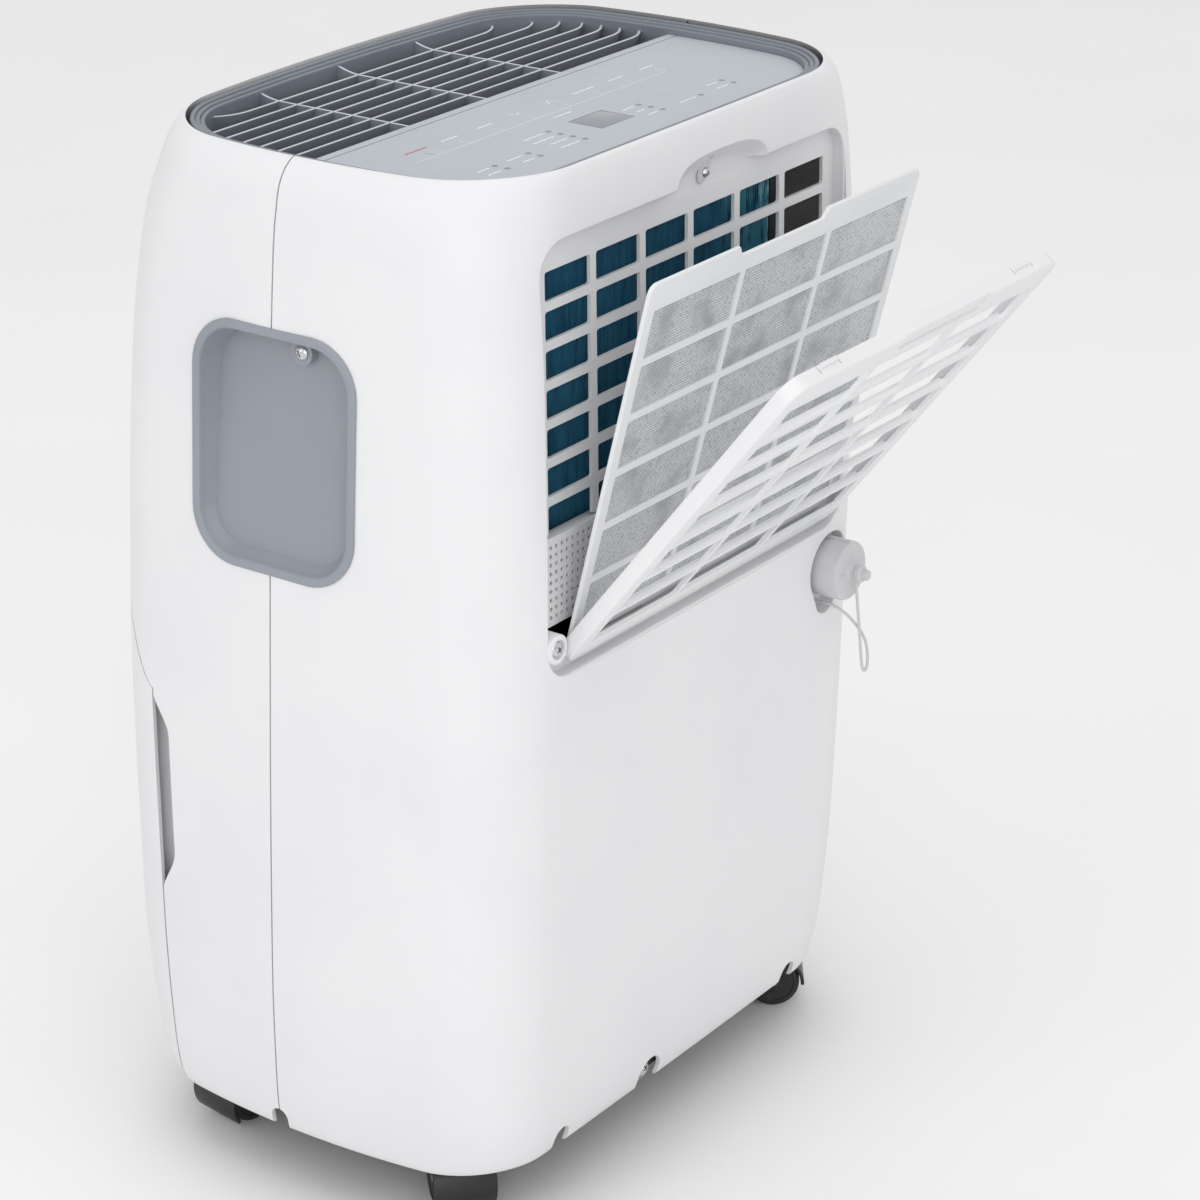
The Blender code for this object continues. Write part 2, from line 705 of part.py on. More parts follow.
def make_display_window():
    (cx, cy), (sx, sy) = DISPLAY_CENTRE, DISPLAY_SIZE
    half_x, half_y = sx / 2 - GAP, sy / 2 - GAP
    outline = rounded_rectangle((cx - half_x, cx + half_x), (cy - half_y, cy + half_y), 0.0008, 2)
    return object_from(bm_prism(outline, "Z", 0.6052, PANEL_TOP_Z - 0.0002), "display_window", "display_grey")


def make_control_board():
    """Circuit board under the panel, with its display module and a relay."""
    plate = bm_box((-0.110, 0.030, 0.5900), (0.110, 0.092, 0.5916))
    board = object_from(plate, "control_board", "board_green")
    (cx, cy), (sx, sy) = DISPLAY_CENTRE, DISPLAY_SIZE
    join(board, bm_box((cx - sx / 2, cy - sy / 2, 0.5910), (cx + sx / 2, cy + sy / 2, 0.6040)))
    join(board, bm_box((-0.095, 0.040, 0.5820), (-0.075, 0.056, 0.5910)))
    join(board, bm_box((0.060, 0.045, 0.5780), (0.088, 0.072, 0.5910)))
    return tidy(board)


# ----------------------------------------------------------------------------
# Side grips and screws
# ----------------------------------------------------------------------------
def grip_ring(inset, offset=None, floor=None):
    """Ring of a grip cup: offset from the cabinet's face, or a sloping floor."""
    ring = []
    for y, z in grip_outline(inset):
        if floor is None:
            x = side_surface_x(y, z) + offset
        else:
            share = (z - GRIP_Z) / GRIP_SIZE[1] + 0.5
            forward = max(0.0, (seam_y(GRIP_Z) - y) / GRIP_SIZE[0])
            depth = GRIP_DEPTH[1] + (GRIP_DEPTH[0] - GRIP_DEPTH[1]) * share + GRIP_FRONT_DEPTH * forward
            x = side_surface_x(seam_y(GRIP_Z), GRIP_Z) - depth - floor
        ring.append((x, y, z))
    return ring


def make_side_grip(name, side):
    rings = [
        grip_ring(0.0090, floor=0.0026),
        grip_ring(0.0034, offset=-0.0040),
        grip_ring(0.0034, offset=0.0006),
        grip_ring(0.0000, offset=0.0006),
        grip_ring(0.0004, offset=0.0018),
        grip_ring(0.0054, offset=0.0012),
        grip_ring(0.0062, offset=-0.0014),
        grip_ring(0.0118, floor=0.0),
    ]
    cup = object_from(bm_loft(rings), name, "grip_grey")
    y, z = GRIP_SCREW
    face_x = side_surface_x(y, z)
    seat = face_x - GRIP_SCREW_SEAT
    join(cup, bm_turned(((seat - 0.0082, 0.0062), (seat, 0.0062)), "X", (y, z), 16))
    cut(cup, bm_turned(((seat, 0.0054), (face_x + 0.0100, 0.0054)), "X", (y, z), 16))
    cut(cup, bm_turned(((seat - 0.0120, 0.0018), (seat + 0.0010, 0.0018)), "X", (y, z), 12))
    if side < 0:
        cup.data.transform(Matrix.Scale(-1, 4, (1, 0, 0)))
        cup.data.flip_normals()
    return tidy(cup)


def make_screw(name, head_point, axis, head_radius=0.0036, shank=0.0080):
    """Pan-head cross-recess screw: head_point is under the head, axis points out of it."""
    profile = ((-shank, 0.0011), (-0.0001, 0.0014), (0.0, head_radius), (0.0012, head_radius * 0.94),
               (0.0023, head_radius * 0.50))
    screw = object_from(bm_turned(profile, "Z", (0, 0), 12), name, "screw_chrome")
    arm = head_radius * 0.62
    cut(screw, bm_box((-arm, -0.0005, 0.0011), (arm, 0.0005, 0.004)))
    cut(screw, bm_box((-0.0005, -arm, 0.0011), (0.0005, arm, 0.004)))
    turn = Vector((0, 0, 1)).rotation_difference(Vector(axis)).to_matrix().to_4x4()
    screw.data.transform(Matrix.Translation(head_point) @ turn)
    return tidy(screw)


# ----------------------------------------------------------------------------
# Back: flap, filter, sensor cover
# ----------------------------------------------------------------------------
def slot_cutters(x_range, z_range, columns, rows, rib, slat, y_range):
    """Grid of slots between x_range and z_range, as one cutter."""
    (x0, x1), (z0, z1) = x_range, z_range
    width = (x1 - x0 - rib * (columns - 1)) / columns
    height = (z1 - z0 - slat * (rows - 1)) / rows
    slots = []
    for i in range(columns):
        for j in range(rows):
            u = x0 + i * (width + rib)
            v = z0 + j * (height + slat)
            slots.append(bm_box((u, y_range[0], v), (u + width, y_range[1], v + height)))
    return merge(*slots)


def make_rear_flap():
    """Tray-shaped intake cover, drawn closed about its hinge and then swung open."""
    (x0, x1), (z0, z1), (y0, y1) = FLAP_X, FLAP_Z, FLAP_Y
    side, low, high = FLAP_MARGIN
    rim = 0.0024
    flap = object_from(bm_prism(rounded_rectangle((x0, x1), (z0, z1), 0.0120, 4), "Y", y0, y1),
                       "rear_flap", "flap_white")
    cut(flap, bm_prism(rounded_rectangle((x0 + rim, x1 - rim), (z0 + rim, z1 - rim), 0.0096, 4),
                       "Y", y0 - 0.01, y1 - FLAP_SKIN))
    cut(flap, slot_cutters((x0 + side, x1 - side), (z0 + low, z1 - high), FLAP_COLUMNS, FLAP_ROWS,
                           FLAP_RIB, FLAP_SLAT, (y0 - 0.01, y1 + 0.01)))
    pitch = (z1 - z0 - low - high + FLAP_SLAT) / FLAP_ROWS
    slats = []
    for row in range(1, FLAP_ROWS):
        v = z0 + low + row * pitch - FLAP_SLAT
        top_corner = (x1 - 0.0120, y1 - FLAP_SKIN + 0.0005, v + 0.0022)
        slats.append(bm_box((x0 + 0.0120, FLAP_SLAT_Y, v), top_corner))
    join(flap, merge(*slats))
    notch = rounded_rectangle((SCOOP_X - SCOOP_HALF_WIDTH, SCOOP_X + SCOOP_HALF_WIDTH),
                              (z1 - 0.0120, z1 + 0.0200), 0.0060, 3)
    cut(flap, bm_prism(notch, "Y", y1 - 0.0014, y1 + 0.01))
    for x in (-0.105, 0.094):
        hook = [(y0 + 0.0006, z1 - 0.0010), (y0 + 0.0030, z1 - 0.0010), (y0 + 0.0030, z1 + 0.0012),
                (y0 + 0.0006, z1 + 0.0018)]
        join(flap, bm_prism(hook, "X", x - 0.0075, x + 0.0075))
        for offset in (-0.0095, 0.0095):
            slit = x + offset
            low_corner = (slit - 0.0006, y0 - 0.001, z1 - 0.0120)
            cut(flap, bm_box(low_corner, (slit + 0.0006, y0 + 0.0052, z1 + 0.01)))
    for ends in ((x1 - 0.0010, x1 + 0.0034), (x0 - 0.0028, x0 + 0.0010)):
        join(flap, bm_turned([(x, 0.0019) for x in ends], "X", (0.0, 0.0), 12))
    cut(flap, bm_box((-0.2, y0 - 0.01, z0 - 0.001), (0.2, -0.0015, 0.0045)))
    flap.location = FLAP_HINGE
    flap.rotation_euler = (-FLAP_OPEN, 0, 0)
    return tidy(flap)


def filter_base():
    """Place of the filter's tipping edge while the flap stands open."""
    y, z = FILTER_BASE
    sine, cosine = math.sin(FLAP_OPEN), math.cos(FLAP_OPEN)
    return (0.0, FLAP_HINGE[1] + y * cosine + z * sine, FLAP_HINGE[2] - y * sine + z * cosine)


def make_filter():
    """Filter frame with its netting, drawn upright about its lower edge."""
    x0, x1 = FILTER_X
    thick, high, corner = FILTER_THICK / 2, FILTER_HEIGHT, 0.006
    outline = arc(x1 - corner, corner, corner, -90, 0, 3) + arc(x1 - corner, high - corner, corner, 0, 90, 3)
    outline += [(0.046, high), (0.042, high - 0.006), (-0.038, high - 0.006), (-0.042, high)]
    outline += arc(x0 + corner, high - corner, corner, 90, 180, 3)
    outline += arc(x0 + corner, corner, corner, 180, 270, 3)
    frame = object_from(bm_prism(outline, "Y", -thick, thick), "filter_frame", "filter_white")
    window = ((x0 + 0.0075, x1 - 0.0075), (0.0080, high - 0.0160))
    cut(frame, slot_cutters(*window, FILTER_COLUMNS, FILTER_ROWS, 0.0045, 0.0045, (-0.01, 0.01)))
    groove = [(low - 0.0030, high_end + 0.0030) for low, high_end in window]
    cut(frame, bm_box((groove[0][0], -0.0004, groove[1][0]), (groove[0][1], 0.0004, groove[1][1])))
    net = object_from(bm_box((groove[0][0] + GAP, -0.0001, groove[1][0] + GAP),
                             (groove[0][1] - GAP, 0.0001, groove[1][1] - GAP)), "filter_mesh", "filter_net")
    for piece in (frame, net):
        piece.location = filter_base()
        piece.rotation_euler = (-FILTER_OPEN, 0, 0)
    tidy(frame)


def make_sensor_cover():
    """Box-shaped cover over the sensor, open towards the inside."""
    (x0, x1), (z0, z1) = SENSOR_X, SENSOR_Z
    cover = object_from(bm_box((x0, 0.1160, z0), (x1, SENSOR_FACE_Y, z1)), "sensor_cover", "shell_white")
    cut(cover, bm_box((x0 + 0.0018, 0.110, z0 + 0.0018), (x1 - 0.0018, SENSOR_FACE_Y - 0.0018, z1 - 0.0018)))
    return tidy(cover)


# ----------------------------------------------------------------------------
# Drain outlet, cap and tether
# ----------------------------------------------------------------------------
def make_drain_spout():
    tube = bm_turned(((0.0900, 0.0130), (0.1390, 0.0130)), "Y", DRAIN_CENTRE)
    spout = object_from(tube, "drain_spout", "cap_grey")
    join(spout, bm_turned(((0.1150, 0.0170), (0.1180, 0.0170)), "Y", DRAIN_CENTRE))
    cut(spout, bm_turned(((0.0800, 0.0100), (0.1500, 0.0100)), "Y", DRAIN_CENTRE))
    return tidy(spout)


def make_drain_cap():
    """Screw cap with a knob; its tether is tied round the neck of the knob."""
    y0, y1 = CAP_Y
    profile = ((y0, CAP_RADIUS - 0.0010), (y0 + 0.0010, CAP_RADIUS), (y1 - 0.0010, CAP_RADIUS),
               (y1, CAP_RADIUS - 0.0010), (y1 + 0.0002, 0.0056), (y1 + 0.0030, 0.0040), (y1 + 0.0042, 0.0040),
               (y1 + 0.0050, 0.0054), (y1 + 0.0084, 0.0054), (y1 + 0.0088, 0.0034), (y1 + 0.0125, 0.0032))
    cap = object_from(bm_turned(profile, "Y", DRAIN_CENTRE), "drain_cap", "cap_grey")
    cut(cap, bm_turned(((y0 - 0.01, 0.0136), (y1 - 0.0040, 0.0136)), "Y", DRAIN_CENTRE))
    u, v = DRAIN_CENTRE
    rim_z = v + CAP_RADIUS
    join(cap, bm_box((u - 0.0008, y0 + 0.004, rim_z - 0.001), (u + 0.0008, y1, rim_z + 0.0014)))
    return tidy(cap)


TETHER_ROUTE = (
    (-0.1380, 0.1491, 0.3081), (-0.1381, 0.1496, 0.3040), (-0.1386, 0.1502, 0.2960),
    (-0.1394, 0.1508, 0.2860), (-0.1402, 0.1514, 0.2760), (-0.1410, 0.1519, 0.2660),
    (-0.1420, 0.1522, 0.2570), (-0.1436, 0.1523, 0.2505), (-0.1466, 0.1522, 0.2482),
    (-0.1496, 0.1519, 0.2508), (-0.1504, 0.1514, 0.2580), (-0.1486, 0.1504, 0.2670),
    (-0.1455, 0.1486, 0.2740), (-0.1425, 0.1460, 0.2795), (-0.1400, 0.1425, 0.2842),
    (-0.1380, 0.1380, 0.2878), (-0.1362, 0.1330, 0.2900), (-0.1352, 0.1285, 0.2907),
    (-0.1350, 0.1218, 0.2907),
)


def smooth_route(route, spacing):
    """Even points along a Catmull-Rom curve through a hand-made route."""
    points = [Vector(p) for p in route]
    padded = [2 * points[0] - points[1]] + points + [2 * points[-1] - points[-2]]
    fine = []
    for a, b, c, d in zip(padded, padded[1:], padded[2:], padded[3:]):
        for k in range(12):
            t = k / 12
            fine.append(0.5 * (2 * b + (c - a) * t + (2 * a - 5 * b + 4 * c - d) * t ** 2
                               + (3 * b - a - 3 * c + d) * t ** 3))
    fine.append(points[-1])
    even = [fine[0]]
    for point in fine:
        if (point - even[-1]).length >= spacing:
            even.append(point)
    even[-1] = fine[-1]
    return even


def make_tube(name, route, diameter, material_name, spacing):
    """Round tube along a route, with flat closed ends."""
    curve = bpy.data.curves.new(name, "CURVE")
    curve.dimensions = "3D"
    curve.bevel_depth = diameter / 2
    curve.bevel_resolution = 2
    curve.use_fill_caps = True
    spline = curve.splines.new("POLY")
    points = smooth_route(route, spacing)
    spline.points.add(len(points) - 1)
    for target, point in zip(spline.points, points):
        target.co = (*point, 1.0)
    tube = bpy.data.objects.new(name, curve)
    curve.materials.append(material(material_name))
    bpy.context.scene.collection.objects.link(tube)
    return tube


# ----------------------------------------------------------------------------
# Bucket
# ----------------------------------------------------------------------------
FLOAT_PIVOT = (0.0950, -0.0450, 0.2050)


def make_bucket():
    """Tank and curved front panel in one moulding, with ears for the float."""
    panel = object_from(cabinet_volume(), "bucket", "shell_white")
    cut(panel, inner_volume())
    keep(panel, bm_prism(bucket_side_outline(-0.0002), "X", -0.22, 0.22))
    low, high = TANK_Z
    plan = rounded_rectangle((-TANK_HALF_WIDTH, TANK_HALF_WIDTH), TANK_Y, 0.012, 3)
    tank = object_from(bm_prism(plan, "Z", low, high), "tank")
    keep(tank, cabinet_volume(0.0012))
    wall = TANK_WALL
    hollow_box = bm_prism(rounded_rectangle((-TANK_HALF_WIDTH + wall, TANK_HALF_WIDTH - wall),
                                            (TANK_Y[0] + wall, TANK_Y[1] - wall), 0.010, 3),
                          "Z", low + wall, high + 0.01)
    hollow = object_from(hollow_box, "hollow")
    keep(hollow, cabinet_volume(0.0052))
    (c0, c1), (d0, d1), (e0, e1) = CHEEK_X, CHEEK_Y, CHEEK_Z
    both = merge(bm_box((c0, d0, e0), (c1, d1, e1)), bm_box((-c1, d0, e0), (-c0, d1, e1)))
    cheeks = object_from(both, "cheeks")
    keep(cheeks, cabinet_volume(0.0012))
    pieces = []
    for piece in (tank, cheeks, hollow):
        bm = bmesh.new()
        bm.from_mesh(piece.data)
        bpy.data.objects.remove(piece, do_unlink=True)
        pieces.append(bm)
    join(panel, pieces[0], pieces[1])
    cut(panel, pieces[2])
    x, y, z = FLOAT_PIVOT
    for side in (-1, 1):
        ear_x = sorted((x + side * 0.0160, x + side * 0.0190))
        join(panel, bm_box((ear_x[0], y - 0.006, z - 0.006), (ear_x[1], TANK_Y[1] - 0.001, z + 0.006)))
    cut(panel, bm_turned(((x - 0.021, 0.0024), (x + 0.021, 0.0024)), "X", (y, z), 12))
    return tidy(panel)


def make_bucket_cover():
    """Splash cover over the rear of the tank, with a dished drip hole."""
    x = TANK_HALF_WIDTH - TANK_WALL - 0.0006
    back = TANK_Y[1] - TANK_WALL - 0.0006
    top = TANK_Z[1]
    plate = rounded_rectangle((-x, x), (back - 0.050, back), 0.0110, 3)
    cover = object_from(bm_prism(plate, "Z", top - 0.0032, top - 0.0008), "bucket_cover", "tank_grey")
    cut(cover, bm_turned(((top - 0.01, 0.010), (top + 0.01, 0.014)), "Z", (0.0, back - 0.025)))
    cut(cover, bm_box((0.060, back - 0.06, top - 0.01), (0.130, back - 0.004, top + 0.01)))
    return tidy(cover)


def make_bucket_float():
    """Foam float on an arm, hinged between the tank's two ears."""
    x, y, z = FLOAT_PIVOT
    foam = bm_box((-0.0240, -0.0640, -0.0420), (0.0240, -0.0260, -0.0220))
    block = object_from(foam, "bucket_float", "foam_white")
    join(block, bm_box((-0.0050, -0.0500, -0.0230), (0.0050, -0.0440, 0.0020)))
    join(block, bm_box((-0.0050, -0.0500, -0.0020), (0.0050, 0.0040, 0.0020)))
    join(block, bm_turned(((-0.0185, 0.0020), (0.0185, 0.0020)), "X", (0.0, 0.0), 12))
    block.location = (x, y, z)
    return tidy(block)


# ----------------------------------------------------------------------------
# Air path and refrigeration
# ----------------------------------------------------------------------------
def make_coil(name, y_range, material_name, tube_side):
    """Fin block with its return bends at both ends."""
    (x0, x1), (z0, z1), (y0, y1) = COIL_X, COIL_Z, y_range
    coil = object_from(bm_box((x0, y0, z0), (x1, y1, z1)), name, material_name)
    y = (y0 + y1) / 2 + tube_side * 0.004
    for row in range(4):
        z = z0 + 0.020 + row * 0.042
        bend = []
        for k in range(5):
            angle = math.pi * k / 4
            centre = Vector((x0 + 0.003 - 0.009 * math.sin(angle), y, z + 0.0085 - 0.0085 * math.cos(angle)))
            out = Vector((-math.sin(angle), 0, -math.cos(angle)))
            side = Vector((0, 1, 0))
            bend.append([tuple(centre + 0.0032 * (math.cos(t) * out + math.sin(t) * side))
                         for t in (2 * math.pi * n / 6 for n in range(6))])
        join(coil, bm_loft(bend))
    return tidy(coil)


def make_drain_pan():
    x0, x1 = COIL_X[0] - 0.006, COIL_X[1] + 0.006
    y0, y1 = CONDENSER_Y[0] - 0.004, EVAPORATOR_Y[1] + 0.0025
    top = COIL_Z[0] - 0.0008
    pan = object_from(bm_box((x0, y0, top - 0.0200), (x1, y1, top)), "drain_pan", "inner_black")
    cut(pan, bm_box((x0 + 0.002, y0 + 0.002, top - 0.0175), (x1 - 0.002, y1 - 0.002, top + 0.01)))
    join(pan, bm_turned(((top - 0.0480, 0.0060), (top - 0.0185, 0.0060)), "Z", (0.0, 0.0720), 16))
    cut(pan, bm_turned(((top - 0.0600, 0.0042), (top - 0.0100, 0.0042)), "Z", (0.0, 0.0720), 16))
    return tidy(pan)


def volute_outline(offset):
    """Scroll of the fan housing in the XZ plane, opening upwards on the +X side."""
    cx, cz = FAN_CENTRE
    outline = []
    for k in range(25):
        share = k / 24
        angle = math.radians(120 + 240 * share)
        radius = 0.0800 + 0.0280 * share + offset
        outline.append((cx + radius * math.cos(angle), cz + radius * math.sin(angle)))
    outline.append((cx + 0.1080 + offset, cz + 0.1000 + (0.02 if offset < 0 else 0.0)))
    outline.append((cx - 0.0420 - offset, cz + 0.1000 + (0.02 if offset < 0 else 0.0)))
    return outline


def make_fan_housing():
    y0, y1 = FAN_Y
    housing = object_from(bm_prism(volute_outline(0.002), "Y", y0, y1), "fan_housing", "inner_black")
    cut(housing, bm_prism(volute_outline(-0.0002), "Y", y0 + 0.002, y1 - 0.002))
    cut(housing, bm_turned(((y1 - 0.01, 0.0600), (y1 + 0.01, 0.0640)), "Y", FAN_CENTRE, 32))
    cut(housing, bm_turned(((y0 - 0.01, 0.0120), (y0 + 0.01, 0.0120)), "Y", FAN_CENTRE, 16))
    return tidy(housing)


def make_fan_impeller():
    """Forward-curved squirrel cage on a hub, turning about Y."""
    y0, y1 = FAN_Y[0] + 0.0060, FAN_Y[1] - 0.0060
    wheel = object_from(bm_turned(((y0, FAN_RADIUS), (y0 + 0.002, FAN_RADIUS)), "Y", (0, 0), 32),
                        "fan_impeller", "inner_black")
    ring = []
    inner_radius = FAN_RADIUS - 0.010
    corners = ((FAN_RADIUS, y1 - 0.003), (FAN_RADIUS, y1), (inner_radius, y1), (inner_radius, y1 - 0.003))
    for radius, y in corners:
        ring.append([(radius * math.cos(2 * math.pi * k / 32), y, radius * math.sin(2 * math.pi * k / 32))
                     for k in range(32)])
    blades = []
    count = 24
    for k in range(count):
        outline = [(FAN_RADIUS - 0.0095, -0.0004), (FAN_RADIUS - 0.0010, 0.0026),
                   (FAN_RADIUS - 0.0008, 0.0038), (FAN_RADIUS - 0.0095, 0.0010)]
        blade = bm_prism(outline, "Y", y0 + 0.0010, y1 - 0.0010)
        blade.transform(Matrix.Rotation(2 * math.pi * k / count, 4, "Y"))
        blades.append(blade)
    join(wheel, merge(*blades))
    join(wheel, bm_closed_sweep(ring))
    join(wheel, bm_turned(((y0 + 0.001, 0.014), (y0 + 0.018, 0.010)), "Y", (0, 0), 20))
    cut(wheel, bm_turned(((y0 - 0.01, 0.0034), (y0 + 0.03, 0.0034)), "Y", (0, 0), 12))
    wheel.location = (FAN_CENTRE[0], 0.0, FAN_CENTRE[1])
    return tidy(wheel)


def make_fan_motor():
    y0 = FAN_Y[0]
    profile = ((y0 - 0.0360, 0.030), (y0 - 0.0340, 0.038), (y0 - 0.0060, 0.038), (y0 - 0.0040, 0.032),
               (y0 - 0.0006, 0.0110), (y0 + 0.0020, 0.0080), (y0 + 0.0025, 0.0030), (y0 + 0.0300, 0.0030))
    return object_from(bm_turned(profile, "Y", FAN_CENTRE), "fan_motor", "motor_steel", smooth=40)


def make_partition():
    """Shelf between the air path and the machinery below it."""
    z = 0.3300
    plate = bm_box((-0.0900, -0.1000, z), (0.1780, 0.1120, z + 0.003))
    shelf = object_from(plate, "partition", "inner_black")
    cut(shelf, bm_turned(((z - 0.01, 0.012), (z + 0.01, 0.012)), "Z", (0.0, 0.0720), 16))
    return tidy(shelf)


def make_compressor():
    """Hermetic compressor: domed can on a foot plate with its suction accumulator."""
    profile = ((0.0620, 0.030), (0.0660, 0.044), (0.0740, COMPRESSOR_RADIUS), (0.2000, COMPRESSOR_RADIUS),
               (0.2080, 0.044), (0.2140, 0.028), (0.2160, 0.010))
    can = object_from(bm_turned(profile, "Z", COMPRESSOR_CENTRE), "compressor", "compressor_black")
    x, y = COMPRESSOR_CENTRE
    foot = rounded_rectangle((x - 0.052, x + 0.052), (y - 0.052, y + 0.052), 0.014, 3)
    join(can, bm_prism(foot, "Z", 0.0600, 0.0630))
    accumulator = ((0.1060, 0.012), (0.1100, 0.018), (0.1900, 0.018), (0.1940, 0.012))
    join(can, bm_turned(accumulator, "Z", (x - 0.066, y), 20))
    return tidy(can)


def make_compressor_feet():
    """Rubber mounts between the compressor's foot plate and the base pan."""
    x, y = COMPRESSOR_CENTRE
    for k, (dx, dy) in enumerate(((-0.040, -0.040), (0.040, -0.040), (0.0, 0.042))):
        foot = bm_turned(((PAN_Z[1] + GAP, 0.008), (0.0597, 0.006)), "Z", (x + dx, y + dy), 12)
        object_from(foot, "compressor_foot_%d" % (k + 1), "inner_black", smooth=40)


def make_capacitor():
    profile = ((0.0510, 0.0170), (0.0520, 0.0180), (0.1180, 0.0180), (0.1190, 0.0170))
    return object_from(bm_turned(profile, "Z", (0.1050, 0.0500)), "run_capacitor", "motor_steel", smooth=40)


def make_bucket_switch():
    """Microswitch that the bucket's cover and float press."""
    x, y, z = 0.1280, -0.0160, 0.2400
    case = bm_box((x - 0.010, y - 0.008, z), (x + 0.010, y + 0.002, z + 0.0160))
    switch = object_from(case, "bucket_switch", "inner_black")
    join(switch, bm_box((x - 0.002, y - 0.004, z - 0.0020), (x + 0.002, y + 0.000, z + 0.001)))
    return tidy(switch)


# ----------------------------------------------------------------------------
# Casters
# ----------------------------------------------------------------------------
def make_caster(name, x, y, turn):
    """One twin-wheel caster: hooded fork with its stem, an axle and two wheels."""
    cy, cz = -CASTER_TRAIL, WHEEL_RADIUS
    place, heading = (x, y, 0), (0, 0, turn)
    hood = arc(cy, cz, HOOD_RADIUS, HOOD_FRONT, 180, 12)
    hood += arc(cy, cz, HOOD_RADIUS - HOOD_WALL, 180, HOOD_FRONT, 12)
    fork = object_from(bm_prism(hood, "X", -HOOD_WIDTH / 2, HOOD_WIDTH / 2), name + "_fork", "caster_black",
                       place, heading)
    web = arc(cy, cz, HOOD_RADIUS - HOOD_WALL / 2, 0, 180, 10) + arc(cy, cz, 0.0080, 200, 340, 4)
    join(fork, bm_prism(web, "X", 0.0004 - WHEEL_GAP, WHEEL_GAP - 0.0004))
    join(fork, bm_turned(((0.0336, 0.0088), (0.0450, 0.0088), (0.0451, STEM_RADIUS), (0.0540, STEM_RADIUS)),
                         "Z", (0, 0), 12))
    cut(fork, bm_turned(((-0.01, AXLE_RADIUS + GAP), (0.01, AXLE_RADIUS + GAP)), "X", (cy, cz), 10))
    tidy(fork)
    reach = WHEEL_GAP + WHEEL_WIDTH
    axle = bm_turned(((-reach, AXLE_RADIUS), (reach, AXLE_RADIUS)), "X", (cy, cz), 10)
    object_from(axle, name + "_axle", "motor_steel", place, heading, smooth=40)
    centre = (x - cy * math.sin(turn), y + cy * math.cos(turn), cz)
    for label, side in (("inner", -1), ("outer", 1)):
        a, b = sorted((side * WHEEL_GAP, side * reach))
        profile = ((a, WHEEL_RADIUS - 0.0012), (a + 0.0012, WHEEL_RADIUS), (b - 0.0012, WHEEL_RADIUS),
                   (b, WHEEL_RADIUS - 0.0012))
        wheel = object_from(bm_turned(profile, "X", (0, 0)), "%s_wheel_%s" % (name, label), "caster_black",
                            centre, heading)
        cut(wheel, bm_turned(((a - 0.01, AXLE_RADIUS + GAP), (b + 0.01, AXLE_RADIUS + GAP)), "X", (0, 0), 10))
        tidy(wheel)


def make_casters():
    for label, x, y, turn in caster_places():
        make_caster("caster_" + label, x, y, turn)


# ----------------------------------------------------------------------------
# Assembly
# ----------------------------------------------------------------------------
def make_screws():
    y, z = GRIP_SCREW
    seat = side_surface_x(y, z) - GRIP_SCREW_SEAT + GAP
    make_screw("grip_screw_right", (seat, y, z), (1, 0, 0), 0.0042)
    make_screw("grip_screw_left", (-seat, y, z), (-1, 0, 0), 0.0042)
    make_screw("back_screw", (BOSS_X, 0.1313 + GAP, BOSS_Z), (0, 1, 0), 0.0046, 0.0120)
    make_screw("base_screw", (0.031, 0.1010, PAN_Z[0] - 0.006 - GAP), (0, 0, -1), 0.0042, 0.0060)


def make_pipes():
    """Copper lines from the compressor up to the two coils."""
    x, y = COMPRESSOR_CENTRE
    suction = ((x - 0.066, y, 0.1945), (x - 0.066, y, 0.2250), (x - 0.067, y + 0.004, 0.3000),
               (x - 0.060, y + 0.030, 0.3600), (x - 0.045, y + 0.048, 0.3950), (-0.1090, 0.1000, 0.4300),
               (-0.1085, 0.1000, 0.4600), (-0.1085, 0.1000, 0.5480))
    discharge = ((x, y, 0.2165), (x, y, 0.2320), (x - 0.012, y + 0.004, 0.2600),
                 (x - 0.036, y + 0.012, 0.3000), (x - 0.041, y + 0.018, 0.3600), (-0.1110, 0.0700, 0.4200),
                 (-0.1110, 0.0700, 0.4800), (-0.1110, 0.0700, 0.5500))
    make_tube("suction_pipe", suction, 0.0080, "copper", 0.0120)
    make_tube("discharge_pipe", discharge, 0.0060, "copper", 0.0120)


def stand_on_origin():
    """Hang everything from one empty and centre the footprint on the origin."""
    bpy.context.view_layer.update()
    depsgraph = bpy.context.evaluated_depsgraph_get()
    pieces = [o for o in bpy.context.scene.objects if o.type in {"MESH", "CURVE"}]
    corners = []
    for piece in pieces:
        evaluated = piece.evaluated_get(depsgraph)
        mesh = evaluated.to_mesh()
        corners += [piece.matrix_world @ v.co for v in mesh.vertices]
        evaluated.to_mesh_clear()
    low = [min(p[i] for p in corners) for i in range(3)]
    high = [max(p[i] for p in corners) for i in range(3)]
    root = bpy.data.objects.new("dehumidifier", None)
    bpy.context.scene.collection.objects.link(root)
    for piece in pieces:
        piece.parent = root
    root.location = (-(low[0] + high[0]) / 2, -(low[1] + high[1]) / 2, -low[2])


